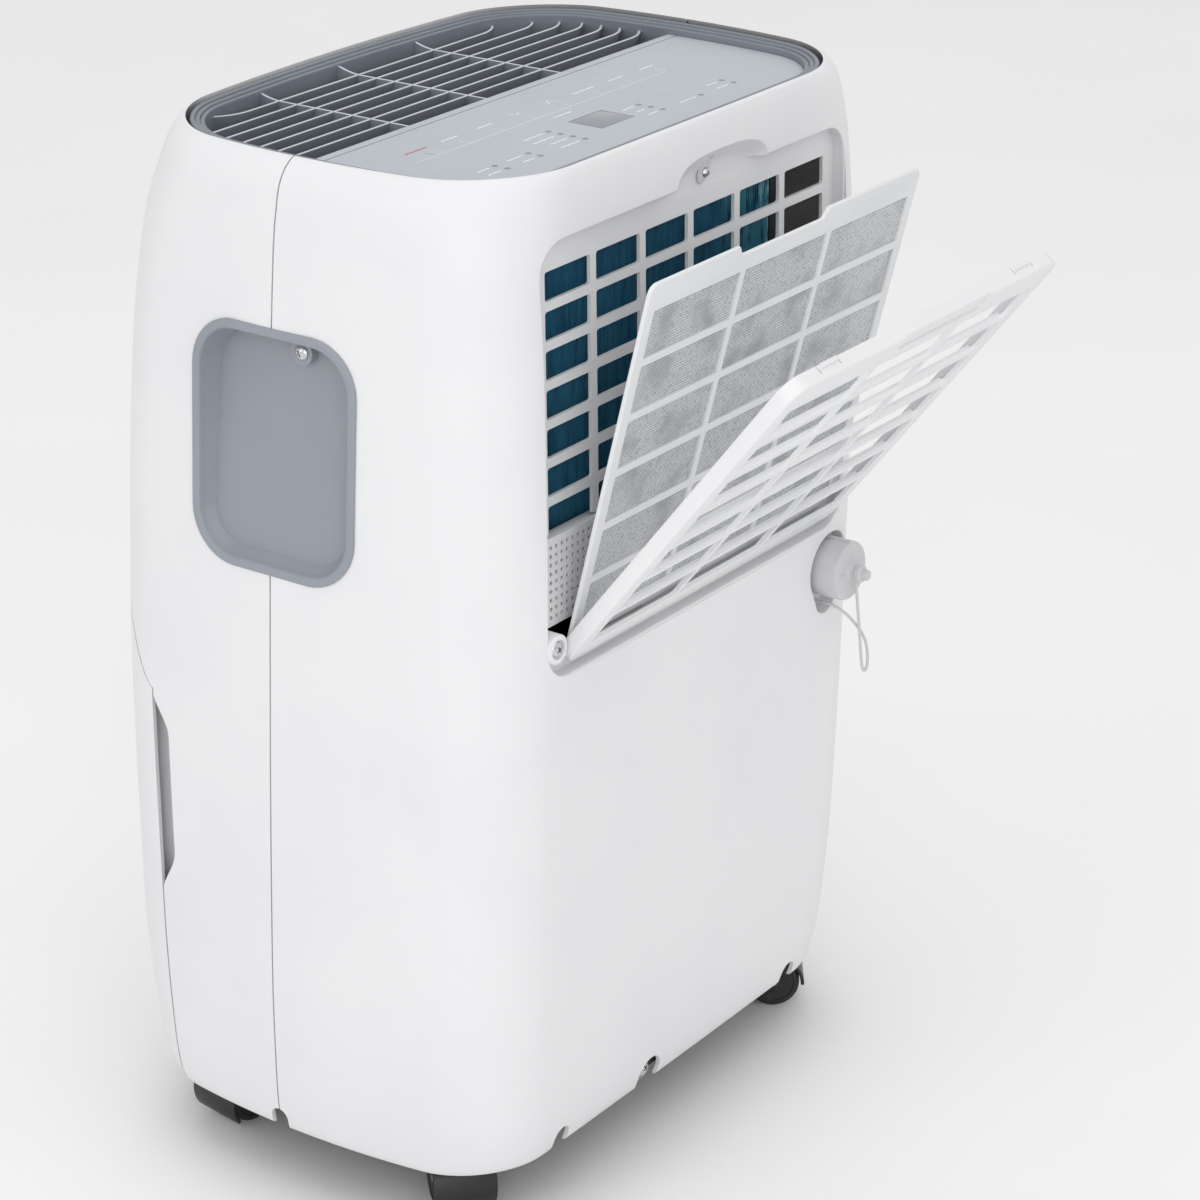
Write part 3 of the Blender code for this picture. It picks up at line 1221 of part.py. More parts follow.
def main():
    clear_scene()
    make_front_shell()
    make_rear_shell()
    make_base_pan()
    make_outlet_grille()
    make_control_panel()
    make_display_window()
    make_control_board()
    make_side_grip("side_grip_right", 1)
    make_side_grip("side_grip_left", -1)
    make_rear_flap()
    make_filter()
    make_sensor_cover()
    make_drain_spout()
    make_drain_cap()
    make_tube("cap_tether", TETHER_ROUTE, TETHER_DIAMETER, "cap_grey", 0.0036)
    make_bucket()
    make_bucket_cover()
    make_bucket_float()
    make_coil("evaporator_coil", EVAPORATOR_Y, "fin_blue", 1)
    make_coil("condenser_coil", CONDENSER_Y, "fin_aluminium", -1)
    make_drain_pan()
    make_fan_housing()
    make_fan_impeller()
    make_fan_motor()
    make_partition()
    make_compressor()
    make_compressor_feet()
    make_capacitor()
    make_bucket_switch()
    make_pipes()
    make_screws()
    make_casters()
    stand_on_origin()


main()
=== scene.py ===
"""Looks of a portable compressor dehumidifier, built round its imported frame."""
import math

import bmesh
import bpy
from mathutils import Matrix, Vector
from mathutils.bvhtree import BVHTree


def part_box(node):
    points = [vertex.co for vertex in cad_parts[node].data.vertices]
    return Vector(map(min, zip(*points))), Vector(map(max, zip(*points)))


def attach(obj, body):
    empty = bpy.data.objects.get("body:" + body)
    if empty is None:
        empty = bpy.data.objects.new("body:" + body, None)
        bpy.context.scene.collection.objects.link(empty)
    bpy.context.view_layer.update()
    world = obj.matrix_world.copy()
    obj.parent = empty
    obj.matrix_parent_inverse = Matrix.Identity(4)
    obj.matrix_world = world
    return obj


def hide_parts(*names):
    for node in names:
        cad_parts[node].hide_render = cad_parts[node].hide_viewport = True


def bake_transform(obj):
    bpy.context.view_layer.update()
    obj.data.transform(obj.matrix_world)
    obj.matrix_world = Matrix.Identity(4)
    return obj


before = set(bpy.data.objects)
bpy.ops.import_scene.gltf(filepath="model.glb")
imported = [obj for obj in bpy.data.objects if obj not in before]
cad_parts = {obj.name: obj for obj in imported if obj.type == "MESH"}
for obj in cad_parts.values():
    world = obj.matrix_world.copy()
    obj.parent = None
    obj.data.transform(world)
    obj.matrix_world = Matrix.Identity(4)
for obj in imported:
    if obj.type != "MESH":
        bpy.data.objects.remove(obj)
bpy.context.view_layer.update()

# The design is drawn about the cabinet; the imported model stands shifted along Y.
PANEL_FRONT_Y = -0.0022
SHIFT_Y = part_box("control_panel")[0][1] - PANEL_FRONT_Y
SHIFT = Matrix.Translation((0, SHIFT_Y, 0))

# --- Dimensions of the moulded forms ---
SHELL_WALL = 0.0026
SECTIONS = (                      # height, half width, front, back, corner radius
    (0.0380, 0.1926, 0.1400, 0.1147, 0.045),
    (0.0460, 0.1942, 0.1440, 0.1175, 0.045),
    (0.0700, 0.1968, 0.1486, 0.1215, 0.045),
    (0.1500, 0.2006, 0.1530, 0.1265, 0.045),
    (0.2800, 0.2018, 0.1525, 0.1300, 0.045),
    (0.4000, 0.2015, 0.1475, 0.1320, 0.045),
    (0.5000, 0.2006, 0.1396, 0.1310, 0.046),
    (0.5700, 0.1983, 0.1291, 0.1285, 0.049),
    (0.6000, 0.1945, 0.1210, 0.1265, 0.053),
    (0.6090, 0.1905, 0.1190, 0.1255, 0.054),
    (0.6160, 0.1823, 0.1168, 0.1238, 0.055),
)
SIDE_BOW, FRONT_BOW, BACK_BOW = 0.0150, 0.0110, 0.0010
TOP_Z, BOTTOM_Z = SECTIONS[-1][0], SECTIONS[0][0]
FOOT_EDGE = ((0.0, 0.0003, 0.0010), (0.0010, 0.0004, 0.0))      # rise, drawn in
HEAD_EDGE = ((0.0008, 0.0002, 0.0), (0.0, 0.0004, 0.0010))      # fall, drawn in
CORNER_STEPS, SIDE_STEPS, WELD = 14, 14, 1e-6
SEAM_Y, SEAM_Z, SEAM_LEAN, SEAM_GAP = -0.0050, 0.6000, 0.0400, 0.0010
RECESS_HALF, RECESS_Z, RECESS_RADIUS = 0.1470, (0.3400, 0.5815), 0.0180
RECESS_FLOOR_Y, RECESS_LEAN, GRID_PLATE = 0.1235, 0.0140, 0.0021
GRID_COLUMNS, GRID_ROWS = 6, 7
GRID_LEFT_X, GRID_TOP_Z = 0.1343, 0.5636
GRID_PITCH, GRID_WINDOW = (0.04586, 0.02141), (0.0405, 0.0161)
SENSOR_X, SENSOR_Z, SENSOR_FACE_Y = (0.0500, 0.1400), (0.3676, 0.4180), 0.1243
BOSS_X, BOSS_Z, BOSS_RADIUS = 0.1405, 0.3585, 0.0085
SCOOP_X, SCOOP_HALF = -0.0200, 0.0450
POCKET_PLACE, POCKET_HALVES = (-0.012, 0.1262, 0.5850), (0.0042, 0.0086)
HINGE_Y, HINGE_Z = 0.1290, 0.3520
FLAP_OPEN = math.radians(38.0)
FLAP_X, FLAP_Z, FLAP_Y, FLAP_SKIN = (-0.1430, 0.1312), (-0.0060, 0.2270), (-0.0045, 0.0045), 0.0024
FILTER_BASE, FILTER_OPEN = (-0.0022, 0.0040), math.radians(14.0)
FILTER_X, FILTER_HEIGHT, FILTER_THICK = (-0.1390, 0.1283), 0.2165, 0.0024
GRIP_SIZE, GRIP_RADIUS, GRIP_Z = (0.1120, 0.1400), 0.0300, 0.4570
GRIP_DEPTH, GRIP_FRONT_DEPTH = (0.0165, 0.0056), 0.0030
GRIP_SCREW, GRIP_SEAT = (0.0045, 0.5135), 0.0095
GRIP_FLANGE = (                   # drawn in from the flange's outline, raised off the cabinet
    (0.0034, -0.0040), (0.0034, 0.0004), (0.0000, 0.0004), (0.0000, 0.0009), (0.0005, 0.0015),
    (0.0014, 0.00177), (0.0036, 0.00177), (0.0048, 0.0014), (0.0055, 0.0006),
)
RING_STEPS = ((0.0034, 0.6142), (0.0064, 0.6132), (0.0094, 0.6122), (0.0124, 0.6112))
PANEL_TOP_Z = 0.6086
PRINT_Z = (PANEL_TOP_Z - 0.0001, PANEL_TOP_Z + 0.00006)
LOUVRE_BAR_Y, LOUVRE_COUNT, LOUVRE_PITCH, LOUVRE_Z = (-0.0090, -0.0028), 7, 0.0129, (0.5960, 0.6082)
LOUVRE_RIBS_X = (-0.061, 0.009, 0.079)
DISPLAY_CENTRE, DISPLAY_SIZE = (0.0090, 0.0680), (0.0310, 0.0230)
BUCKET_EDGE_Y, BUCKET_GRIP_Z, BUCKET_GRIP_DEPTH, BUCKET_TOP_Z = -0.1095, (0.1640, 0.2940), 0.0125, 0.3380
TANK_HALF, TANK_Y, TANK_Z, TANK_WALL = 0.1700, (-0.1700, -0.0300), (0.0600, 0.2350), 0.0025
CHEEK_X, CHEEK_Y, CHEEK_Z = (0.1800, 0.1836), (-0.1310, -0.0880), (0.1500, 0.2850)
DRAIN_X, DRAIN_Z, DRAIN_POCKET_Y, DRAIN_POCKET_RADIUS = -0.1380, 0.3135, 0.1215, 0.0215
CAP_RADIUS, CAP_Y = 0.0180, (0.1224, 0.1455)
TETHER_DIAMETER = 0.0018
COIL_X, COIL_Z = (-0.0920, 0.1440), (0.4000, 0.5720)
# Fins on the low-x side of the first value get the painted sheen.
SHEEN_FINS_X, FIN_THICK, END_PLATE = -0.0470, 0.0003, 0.0010
TUBE_ROWS, TUBE_PITCH, TUBE_RADIUS = 8, 0.0213, 0.0042
BEND_ROWS, BEND_PITCH, BEND_HALF, BEND_RADIUS = 4, 0.042, 0.0085, 0.0032
EVAPORATOR_Y, CONDENSER_Y = (0.0880, 0.1120), (0.0600, 0.0860)
CASTER_X, CASTER_Y = 0.1550, {"front": -0.1030, "rear": 0.0745}
CASTER_TURN = {"front_right": 261.0, "front_left": 290.0, "rear_right": 320.5, "rear_left": 214.9}
CASTER_TRAIL, WHEEL_RADIUS, WHEEL_WIDTH, WHEEL_GAP = 0.0100, 0.0165, 0.0128, 0.0030
HOOD_RADIUS, HOOD_WALL, HOOD_WIDTH, HOOD_FRONT = 0.0195, 0.0022, 0.0370, -38.0


# --- Materials ---
class Shader:
    """Small helper that builds one Principled material out of object-space textures."""

    def __init__(self, name, colour, roughness, metallic=0.0):
        self.material = bpy.data.materials.new(name)
        self.material.use_nodes = True
        self.tree = self.material.node_tree
        self.main = self.tree.nodes["Principled BSDF"]
        self.main.inputs["Base Color"].default_value = (*colour, 1.0)
        self.main.inputs["Roughness"].default_value = roughness
        self.main.inputs["Metallic"].default_value = metallic
        self.colour = colour
        self.place = self.tree.nodes.new("ShaderNodeTexCoord").outputs["Object"]
        self.height = None

    def link(self, out, into):
        self.tree.links.new(out, into)

    def stretched(self, scale):
        mapping = self.tree.nodes.new("ShaderNodeMapping")
        mapping.inputs["Scale"].default_value = scale
        self.link(self.place, mapping.inputs["Vector"])
        return mapping.outputs["Vector"]

    def noise(self, scale, detail=2.0, stretch=None, roughness=0.5):
        node = self.tree.nodes.new("ShaderNodeTexNoise")
        node.inputs["Scale"].default_value = scale
        node.inputs["Detail"].default_value = detail
        node.inputs["Roughness"].default_value = roughness
        self.link(self.stretched(stretch) if stretch else self.place, node.inputs["Vector"])
        return node.outputs["Fac"]

    def voronoi(self, scale):
        node = self.tree.nodes.new("ShaderNodeTexVoronoi")
        node.inputs["Scale"].default_value = scale
        self.link(self.place, node.inputs["Vector"])
        return node.outputs["Distance"]

    def pattern(self, scale, detail=None, stretch=None):
        """Noise, or cells where no detail is given."""
        return self.voronoi(scale) if detail is None else self.noise(scale, detail, stretch)

    def wave(self, scale, direction):
        node = self.tree.nodes.new("ShaderNodeTexWave")
        node.bands_direction = direction
        node.inputs["Scale"].default_value = scale
        node.inputs["Distortion"].default_value = 0.0
        self.link(self.place, node.inputs["Vector"])
        return node.outputs["Fac"]

    def ramp(self, fac, low, high, values):
        node = self.tree.nodes.new("ShaderNodeMapRange")
        node.inputs["From Min"].default_value = low
        node.inputs["From Max"].default_value = high
        node.inputs["To Min"].default_value = values[0]
        node.inputs["To Max"].default_value = values[1]
        self.link(fac, node.inputs["Value"])
        return node.outputs["Result"]

    def tint(self, fac, other, low=0.35, high=0.65):
        """Blend the base colour towards another one where fac is high."""
        mix = self.tree.nodes.new("ShaderNodeMix")
        mix.data_type = "RGBA"
        base = self.main.inputs["Base Color"]
        if base.is_linked:
            self.link(base.links[0].from_socket, mix.inputs[6])
        else:
            mix.inputs[6].default_value = (*self.colour, 1.0)
        mix.inputs[7].default_value = (*other, 1.0)
        self.link(self.ramp(fac, low, high, (0.0, 1.0)), mix.inputs[0])
        self.link(mix.outputs[2], base)
        return self

    def rough(self, fac, low_value, high_value, low=0.3, high=0.7):
        self.link(self.ramp(fac, low, high, (low_value, high_value)), self.main.inputs["Roughness"])
        return self

    def bump(self, fac, strength, distance):
        node = self.tree.nodes.new("ShaderNodeBump")
        node.inputs["Strength"].default_value = strength
        node.inputs["Distance"].default_value = distance
        self.link(fac, node.inputs["Height"])
        if self.height:
            self.link(self.height, node.inputs["Normal"])
        self.height = node.outputs["Normal"]
        self.link(self.height, self.main.inputs["Normal"])
        return self

    def set(self, **sockets):
        for name, value in sockets.items():
            self.main.inputs[name.replace("_", " ")].default_value = value
        return self


def moulded(name, colour, shade, roughness, grain=1400.0, depth=0.00004):
    """Injection-moulded plastic: faint flow tint, spark-eroded grain, uneven gloss."""
    s = Shader(name, colour, roughness)
    s.tint(s.noise(9.0, 3.0), shade, 0.42, 0.75)
    s.rough(s.noise(60.0, 4.0), roughness - 0.05, roughness + 0.06)
    s.bump(s.noise(grain, 3.0, roughness=0.6), 0.30, depth)
    s.bump(s.noise(14.0, 1.0), 0.06, 0.0006)
    s.set(IOR=1.5)
    return s


MATERIALS = {}
MOULDINGS = (                     # name, colour, second tint, roughness, grain, grain depth
    ("shell_white", (0.780, 0.782, 0.792), (0.742, 0.746, 0.760), 0.36),
    ("flap_white", (0.800, 0.803, 0.812), (0.765, 0.770, 0.782), 0.40),
    ("filter_white", (0.760, 0.768, 0.780), (0.725, 0.732, 0.745), 0.48),
    ("grille_grey", (0.205, 0.228, 0.262), (0.180, 0.202, 0.235), 0.42),
    # Lighter grey for the louvres' upward faces: painted highlight.
    ("louvre_top_highlight", (0.560, 0.590, 0.640), (0.500, 0.530, 0.580), 0.34),
    ("louvre_grey", (0.235, 0.260, 0.298), (0.205, 0.228, 0.264), 0.44),
    ("panel_grey", (0.455, 0.495, 0.530), (0.430, 0.470, 0.508), 0.38, 1900.0, 0.00003),
    ("grip_grey", (0.285, 0.308, 0.345), (0.262, 0.285, 0.320), 0.42),
    ("cap_grey", (0.590, 0.592, 0.602), (0.545, 0.548, 0.560), 0.42),
    ("tank_grey", (0.330, 0.338, 0.350), (0.300, 0.308, 0.322), 0.40),
    ("inner_black", (0.007, 0.007, 0.008), (0.012, 0.012, 0.013), 0.72),
    ("caster_black", (0.010, 0.010, 0.012), (0.020, 0.020, 0.022), 0.36, 900.0),
)
# Name, colour, roughness, metallic; then a pattern with the second tint and its span, a pattern with
# the span of the roughness, and a pattern with the strength and height of the relief.
SURFACES = (
    ("wheel_tread", (0.016, 0.016, 0.017), 0.52, 0.0, (180.0, 4.0), (0.045, 0.043, 0.040), (0.55, 0.85),
     (240.0, 3.0), (0.42, 0.66), (1600.0, 3.0), (0.35, 0.00006)),
    ("display_grey", (0.180, 0.200, 0.232), 0.12, 0.0, (40.0, 2.0), (0.205, 0.226, 0.258), (0.35, 0.65),
     (300.0, 4.0), (0.07, 0.18), (900.0, 2.0), (0.05, 0.00002)),
    ("fin_blue", (0.040, 0.205, 0.340), 0.34, 0.25, (30.0, 3.0), (0.055, 0.270, 0.420), (0.45, 0.75),
     (200.0, 3.0), (0.28, 0.52), (1500.0, 2.0), (0.25, 0.00004)),
    ("fin_aluminium", (0.600, 0.610, 0.620), 0.32, 1.0, (60.0, 4.0), (0.480, 0.490, 0.505), (0.35, 0.65),
     (260.0, 4.0), (0.24, 0.48), (1200.0, 2.0), (0.25, 0.00004)),
    ("copper", (0.700, 0.310, 0.170), 0.28, 1.0, (85.0, 5.0), (0.330, 0.150, 0.090), (0.50, 0.78),
     (150.0, 4.0), (0.20, 0.52), (900.0, 3.0), (0.2, 0.00005)),
    ("motor_steel", (0.430, 0.435, 0.445), 0.34, 1.0, (45.0, 5.0), (0.330, 0.335, 0.345), (0.35, 0.65),
     (900.0, 3.0, (1.0, 14.0, 1.0)), (0.24, 0.50), (1300.0, 3.0, (1.0, 9.0, 1.0)), (0.22, 0.00004)),
    ("screw_chrome", (0.640, 0.650, 0.668), 0.20, 1.0, (320.0, 4.0), (0.430, 0.440, 0.455), (0.50, 0.80),
     (700.0, 4.0), (0.14, 0.34), (2600.0, 3.0), (0.25, 0.00003)),
    ("compressor_black", (0.014, 0.014, 0.016), 0.30, 0.0, (90.0, 5.0), (0.034, 0.033, 0.032), (0.52, 0.80),
     (180.0, 4.0), (0.22, 0.44), (420.0, 3.0), (0.22, 0.00012)),
    ("foot_rubber", (0.016, 0.016, 0.016), 0.72, 0.0, (120.0, 4.0), (0.040, 0.039, 0.038), (0.35, 0.65),
     (400.0, 3.0), (0.62, 0.85), (1500.0, 3.0), (0.4, 0.00006)),
    ("board_green", (0.018, 0.140, 0.062), 0.34, 0.0, (420.0,), (0.010, 0.085, 0.040), (0.20, 0.55),
     (300.0, 3.0), (0.26, 0.50), (500.0,), (0.3, 0.00008)),
    ("foam_white", (0.720, 0.718, 0.700), 0.85, 0.0, (600.0,), (0.560, 0.558, 0.545), (0.15, 0.60),
     (200.0, 3.0), (0.76, 0.94), (600.0,), (0.55, 0.00030)),
    ("floor", (0.905, 0.905, 0.908), 0.62, 0.0, (2.2, 2.0), (0.885, 0.886, 0.890), (0.35, 0.65),
     (5.0, 2.0), (0.56, 0.70), (260.0, 2.0), (0.04, 0.0002)),
)
PRINTS = (("print_white", (0.88, 0.89, 0.90), (0.80, 0.81, 0.83)),
          ("print_red", (0.560, 0.060, 0.055), (0.470, 0.045, 0.045)),
          ("print_dark", (0.235, 0.262, 0.300), (0.205, 0.230, 0.268)))


def patterned(name, colour, roughness, metallic, blotch, other, span, wear, gloss, relief, height):
    s = Shader(name, colour, roughness, metallic)
    s.tint(s.pattern(*blotch), other, *span)
    s.rough(s.pattern(*wear), *gloss)
    s.bump(s.pattern(*relief), *height)
    return s


def filter_netting():
    s = Shader("filter_net", (0.560, 0.572, 0.588), 0.75)
    weave = s.tree.nodes.new("ShaderNodeMath")
    weave.operation = "MULTIPLY"
    s.link(s.wave(190.0, "X"), weave.inputs[0])
    s.link(s.wave(190.0, "Z"), weave.inputs[1])
    s.tint(weave.outputs[0], (0.780, 0.790, 0.805), 0.05, 0.75)
    s.tint(s.noise(620.0, 3.0), (0.420, 0.430, 0.450), 0.50, 0.68)
    # Coarse darker patches: painted shade of the parts behind, seen through the net.
    s.tint(s.noise(42.0, 4.0), (0.430, 0.440, 0.460), 0.50, 0.70)
    s.rough(s.noise(500.0, 2.0), 0.62, 0.88)
    s.bump(weave.outputs[0], 0.6, 0.00018)
    s.link(s.ramp(weave.outputs[0], 0.02, 0.45, (0.62, 0.93)), s.main.inputs["Alpha"])
    return s


def painted_fin_sheen():
    # Painted highlight: brighter cyan base with light streaks for the coil's reflection, and darker streaks
    # between them.
    s = Shader("fin_painted_sheen", (0.085, 0.350, 0.470), 0.24, 0.25)
    s.tint(s.noise(120.0, 4.0, (1.0, 1.0, 0.30)), (0.018, 0.110, 0.185), 0.50, 0.62)
    s.tint(s.noise(170.0, 5.0, (1.0, 1.0, 0.22)), (0.420, 0.720, 0.800), 0.56, 0.68)
    return s


def make_materials():
    made = {row[0]: moulded(*row) for row in MOULDINGS}
    made.update({row[0]: patterned(*row) for row in SURFACES})
    for name, colour, other in PRINTS:
        made[name] = patterned(name, colour, 0.42, 0.0, (500.0, 3.0), other, (0.35, 0.65), (800.0, 2.0),
                               (0.34, 0.52), (2200.0, 2.0), (0.15, 0.00002))
    made.update({"filter_net": filter_netting(), "fin_painted_sheen": painted_fin_sheen()})
    made["display_grey"].set(Coat_Weight=0.6, Coat_Roughness=0.06)
    fins = made["fin_blue"]
    fins.tint(fins.noise(260.0, 4.0, (1.0, 1.0, 0.12)), (0.022, 0.120, 0.210), 0.45, 0.70)
    MATERIALS.update({name: s.material for name, s in made.items()})


# --- Mesh helpers ---
def object_from(bm, name, material=None, smooth=35.0):
    bmesh.ops.recalc_face_normals(bm, faces=bm.faces)
    mesh = bpy.data.meshes.new(name)
    bm.to_mesh(mesh)
    bm.free()
    if smooth:
        mesh.shade_smooth()
        mesh.set_sharp_from_angle(angle=math.radians(smooth))
    made = bpy.data.objects.new(name, mesh)
    if material:
        mesh.materials.append(MATERIALS[material])
    bpy.context.scene.collection.objects.link(made)
    return made


def bm_loft(rings, capped=True, closed_way=False):
    bm = bmesh.new()
    rows = [[bm.verts.new(p) for p in ring] for ring in rings]
    count = len(rings[0])
    pairs = list(zip(rows, rows[1:]))
    if closed_way:
        pairs.append((rows[-1], rows[0]))
    for lower, upper in pairs:
        for i in range(count):
            j = (i + 1) % count
            bm.faces.new((lower[i], lower[j], upper[j], upper[i]))
    if capped and not closed_way:
        bm.faces.new(reversed(rows[0]))
        bm.faces.new(rows[-1])
    return bm


AXES = {"X": (1, 2, 0), "Y": (0, 2, 1), "Z": (0, 1, 2)}


def on_axis(u, v, w, axis):
    point = [0.0, 0.0, 0.0]
    first, second, along = AXES[axis]
    point[first], point[second], point[along] = u, v, w
    return tuple(point)


def bm_prism(outline, axis, low, high):
    return bm_loft([[on_axis(u, v, w, axis) for u, v in outline] for w in (low, high)])


def bm_pillow(outline_at, axis, low, high, edge, steps=3):
    """Prism with rounded rims: outline_at(inset) gives its outline drawn in by inset."""
    rings = []
    turns = [math.pi / 2 * k / steps for k in range(steps + 1)]
    for way, face in ((1, low), (-1, high)):
        for angle in turns[::way]:
            inset, drop = edge * (1 - math.sin(angle)), edge * (1 - math.cos(angle))
            rings.append([on_axis(u, v, face + way * drop, axis) for u, v in outline_at(inset)])
    return bm_loft(rings)


def bm_box(low, high):
    return bm_prism([(low[0], low[1]), (high[0], low[1]), (high[0], high[1]), (low[0], high[1])],
                    "Z", low[2], high[2])


def bm_turned(profile, axis, centre, sides=48):
    turns = [2 * math.pi * k / sides for k in range(sides)]
    return bm_loft([[on_axis(centre[0] + radius * math.cos(t), centre[1] + radius * math.sin(t), w, axis)
                     for t in turns] for w, radius in profile])


def merge(*parts):
    whole = bmesh.new()
    for part in parts:
        scratch = bpy.data.meshes.new("scratch")
        bmesh.ops.recalc_face_normals(part, faces=part.faces)
        part.to_mesh(scratch)
        part.free()
        whole.from_mesh(scratch)
        bpy.data.meshes.remove(scratch)
    return whole


def taken(piece):
    """The mesh of an object as a bmesh, with the object removed."""
    bm = bmesh.new()
    bm.from_mesh(piece.data)
    bpy.data.objects.remove(piece, do_unlink=True)
    return bm


def boolean(target, operation, *cutters):
    for cutter_bm in cutters:
        cutter = object_from(cutter_bm, "cutter", smooth=None)
        modifier = target.modifiers.new("cut", "BOOLEAN")
        modifier.operation = operation
        modifier.solver = "EXACT"
        modifier.object = cutter
        bpy.context.view_layer.update()
        depsgraph = bpy.context.evaluated_depsgraph_get()
        result = bpy.data.meshes.new_from_object(target.evaluated_get(depsgraph))
        old = target.data
        target.modifiers.clear()
        target.data = result
        result.name = target.name
        bpy.data.meshes.remove(old)
        bpy.data.objects.remove(cutter, do_unlink=True)
    return target


def cut(target, *cutters):
    return boolean(target, "DIFFERENCE", *cutters)


def join(target, *additions):
    return boolean(target, "UNION", *additions)


def keep(target, *regions):
    return boolean(target, "INTERSECT", *regions)


def finish_mesh(target, smooth):
    """Weld, drop flat edges and shade by angle."""
    bm = bmesh.new()
    bm.from_mesh(target.data)
    bmesh.ops.remove_doubles(bm, verts=bm.verts, dist=WELD)
    bmesh.ops.dissolve_degenerate(bm, edges=bm.edges, dist=WELD)
    bm.to_mesh(target.data)
    bm.free()
    target.data.shade_smooth()
    target.data.set_sharp_from_angle(angle=math.radians(smooth))
    return target


def follow_form(target, reference_bm, reach=0.00008, lean=0.90):
    """Give corners that lie on a smooth form the form's own normals."""
    tree = BVHTree.FromBMesh(reference_bm)
    reference_bm.faces.ensure_lookup_table()
    mesh = target.data
    normals = [Vector(c.vector) for c in mesh.corner_normals]
    for polygon in mesh.polygons:
        for index in polygon.loop_indices:
            point = mesh.vertices[mesh.loops[index].vertex_index].co
            place, _, face_index, distance = tree.find_nearest(point)
            if place is None or distance > reach:
                continue
            face = reference_bm.faces[face_index]
            total = Vector()
            for vert in face.verts:
                total += vert.normal / max((vert.co - point).length, 1e-5)
            total.normalize()
            if total.dot(polygon.normal) > lean:
                normals[index] = total
    mesh.normals_split_custom_set(normals)
    return target


def placed(piece, body, *nodes, slot=None):
    """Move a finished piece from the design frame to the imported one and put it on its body."""
    piece.data.transform(SHIFT)
    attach(piece, body)
    if nodes:
        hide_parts(*nodes)
    return piece


# --- Outlines ---
def arc(cu, cv, radius, start, end, steps):
    turns = [math.radians(start + (end - start) * k / steps) for k in range(steps + 1)]
    return [(cu + radius * math.cos(t), cv + radius * math.sin(t)) for t in turns]


def rounded_rectangle(u_range, v_range, radius, steps=6):
    (u0, u1), (v0, v1) = u_range, v_range
    outline = arc(u1 - radius, v0 + radius, radius, -90, 0, steps)
    outline += arc(u1 - radius, v1 - radius, radius, 0, 90, steps)
    outline += arc(u0 + radius, v1 - radius, radius, 90, 180, steps)
    outline += arc(u0 + radius, v0 + radius, radius, 180, 270, steps)
    return outline


def rounded_at(u_range, v_range, radius, steps=6):
    """Rounded rectangle as a function of how far it is drawn in."""
    def outline_at(inset):
        return rounded_rectangle((u_range[0] + inset, u_range[1] - inset),
                                 (v_range[0] + inset, v_range[1] - inset), max(radius - inset, 0.0001), steps)
    return outline_at


def slopes(column):
    """Monotone slopes for a smooth curve through the cabinet's sections."""
    heights = [s[0] for s in SECTIONS]
    values = [s[column] for s in SECTIONS]
    steps = [(b - a) / (q - p) for a, b, p, q in zip(values, values[1:], heights, heights[1:])]
    found = [steps[0]]
    for left, right in zip(steps, steps[1:]):
        found.append(0.0 if left * right <= 0 else 2 * left * right / (left + right))
    found.append(steps[-1] * 1.6)
    return found


SLOPES = {column: slopes(column) for column in (1, 2, 3, 4)}


def section(z):
    z = min(max(z, BOTTOM_Z), TOP_Z)
    k = 0
    while k < len(SECTIONS) - 2 and z > SECTIONS[k + 1][0]:
        k += 1
    low, high = SECTIONS[k], SECTIONS[k + 1]
    h = high[0] - low[0]
    t = (z - low[0]) / h
    values = []
    for column in (1, 2, 3, 4):
        m0, m1 = SLOPES[column][k] * h, SLOPES[column][k + 1] * h
        p0, p1 = low[column], high[column]
        values.append((2 * t ** 3 - 3 * t ** 2 + 1) * p0 + (t ** 3 - 2 * t ** 2 + t) * m0
                      + (3 * t ** 2 - 2 * t ** 3) * p1 + (t ** 3 - t ** 2) * m1)
    return values


def cabinet_outline(z, inset=0.0):
    half_width, front, back, radius = section(z)
    flat_half = half_width - SIDE_BOW
    middle, half_depth = (back - front) / 2, (back + front) / 2
    small = max(radius - inset, 0.004)
    outline = []
    for side_u, side_v, start in ((1, -1, -90), (1, 1, 0), (-1, 1, 90), (-1, -1, 180)):
        outline += arc(side_u * (flat_half - radius), side_v * (half_depth - radius), small, start,
                       start + 90, CORNER_STEPS)
        last = outline[-1]
        goal = (last[0], -last[1]) if side_v * side_u < 0 else (-last[0], last[1])
        for k in range(1, SIDE_STEPS):
            share = k / SIDE_STEPS
            outline.append(tuple(a + (b - a) * share for a, b in zip(last, goal)))
    bowed = []
    for u, v in outline:
        along = max(-1.0, min(1.0, u / flat_half))
        across = max(-1.0, min(1.0, v / half_depth))
        bow_v = BACK_BOW if v > 0 else -FRONT_BOW
        bowed.append((u + SIDE_BOW * along * (1 - across ** 2),
                      v + bow_v * (1 - along ** 2) * abs(across) + middle))
    return bowed


def levels(low, high):
    """Heights of the cabinet's rings, close together at the shoulder and the foot."""
    found = [low]
    z = low
    while z < high - 1e-6:
        if z > 0.608:
            step = 0.0010
        elif z > 0.585:
            step = 0.0025
        elif z < 0.075:
            step = 0.0040
        else:
            step = 0.0120
        z = min(z + step, high)
        found.append(z)
    return found


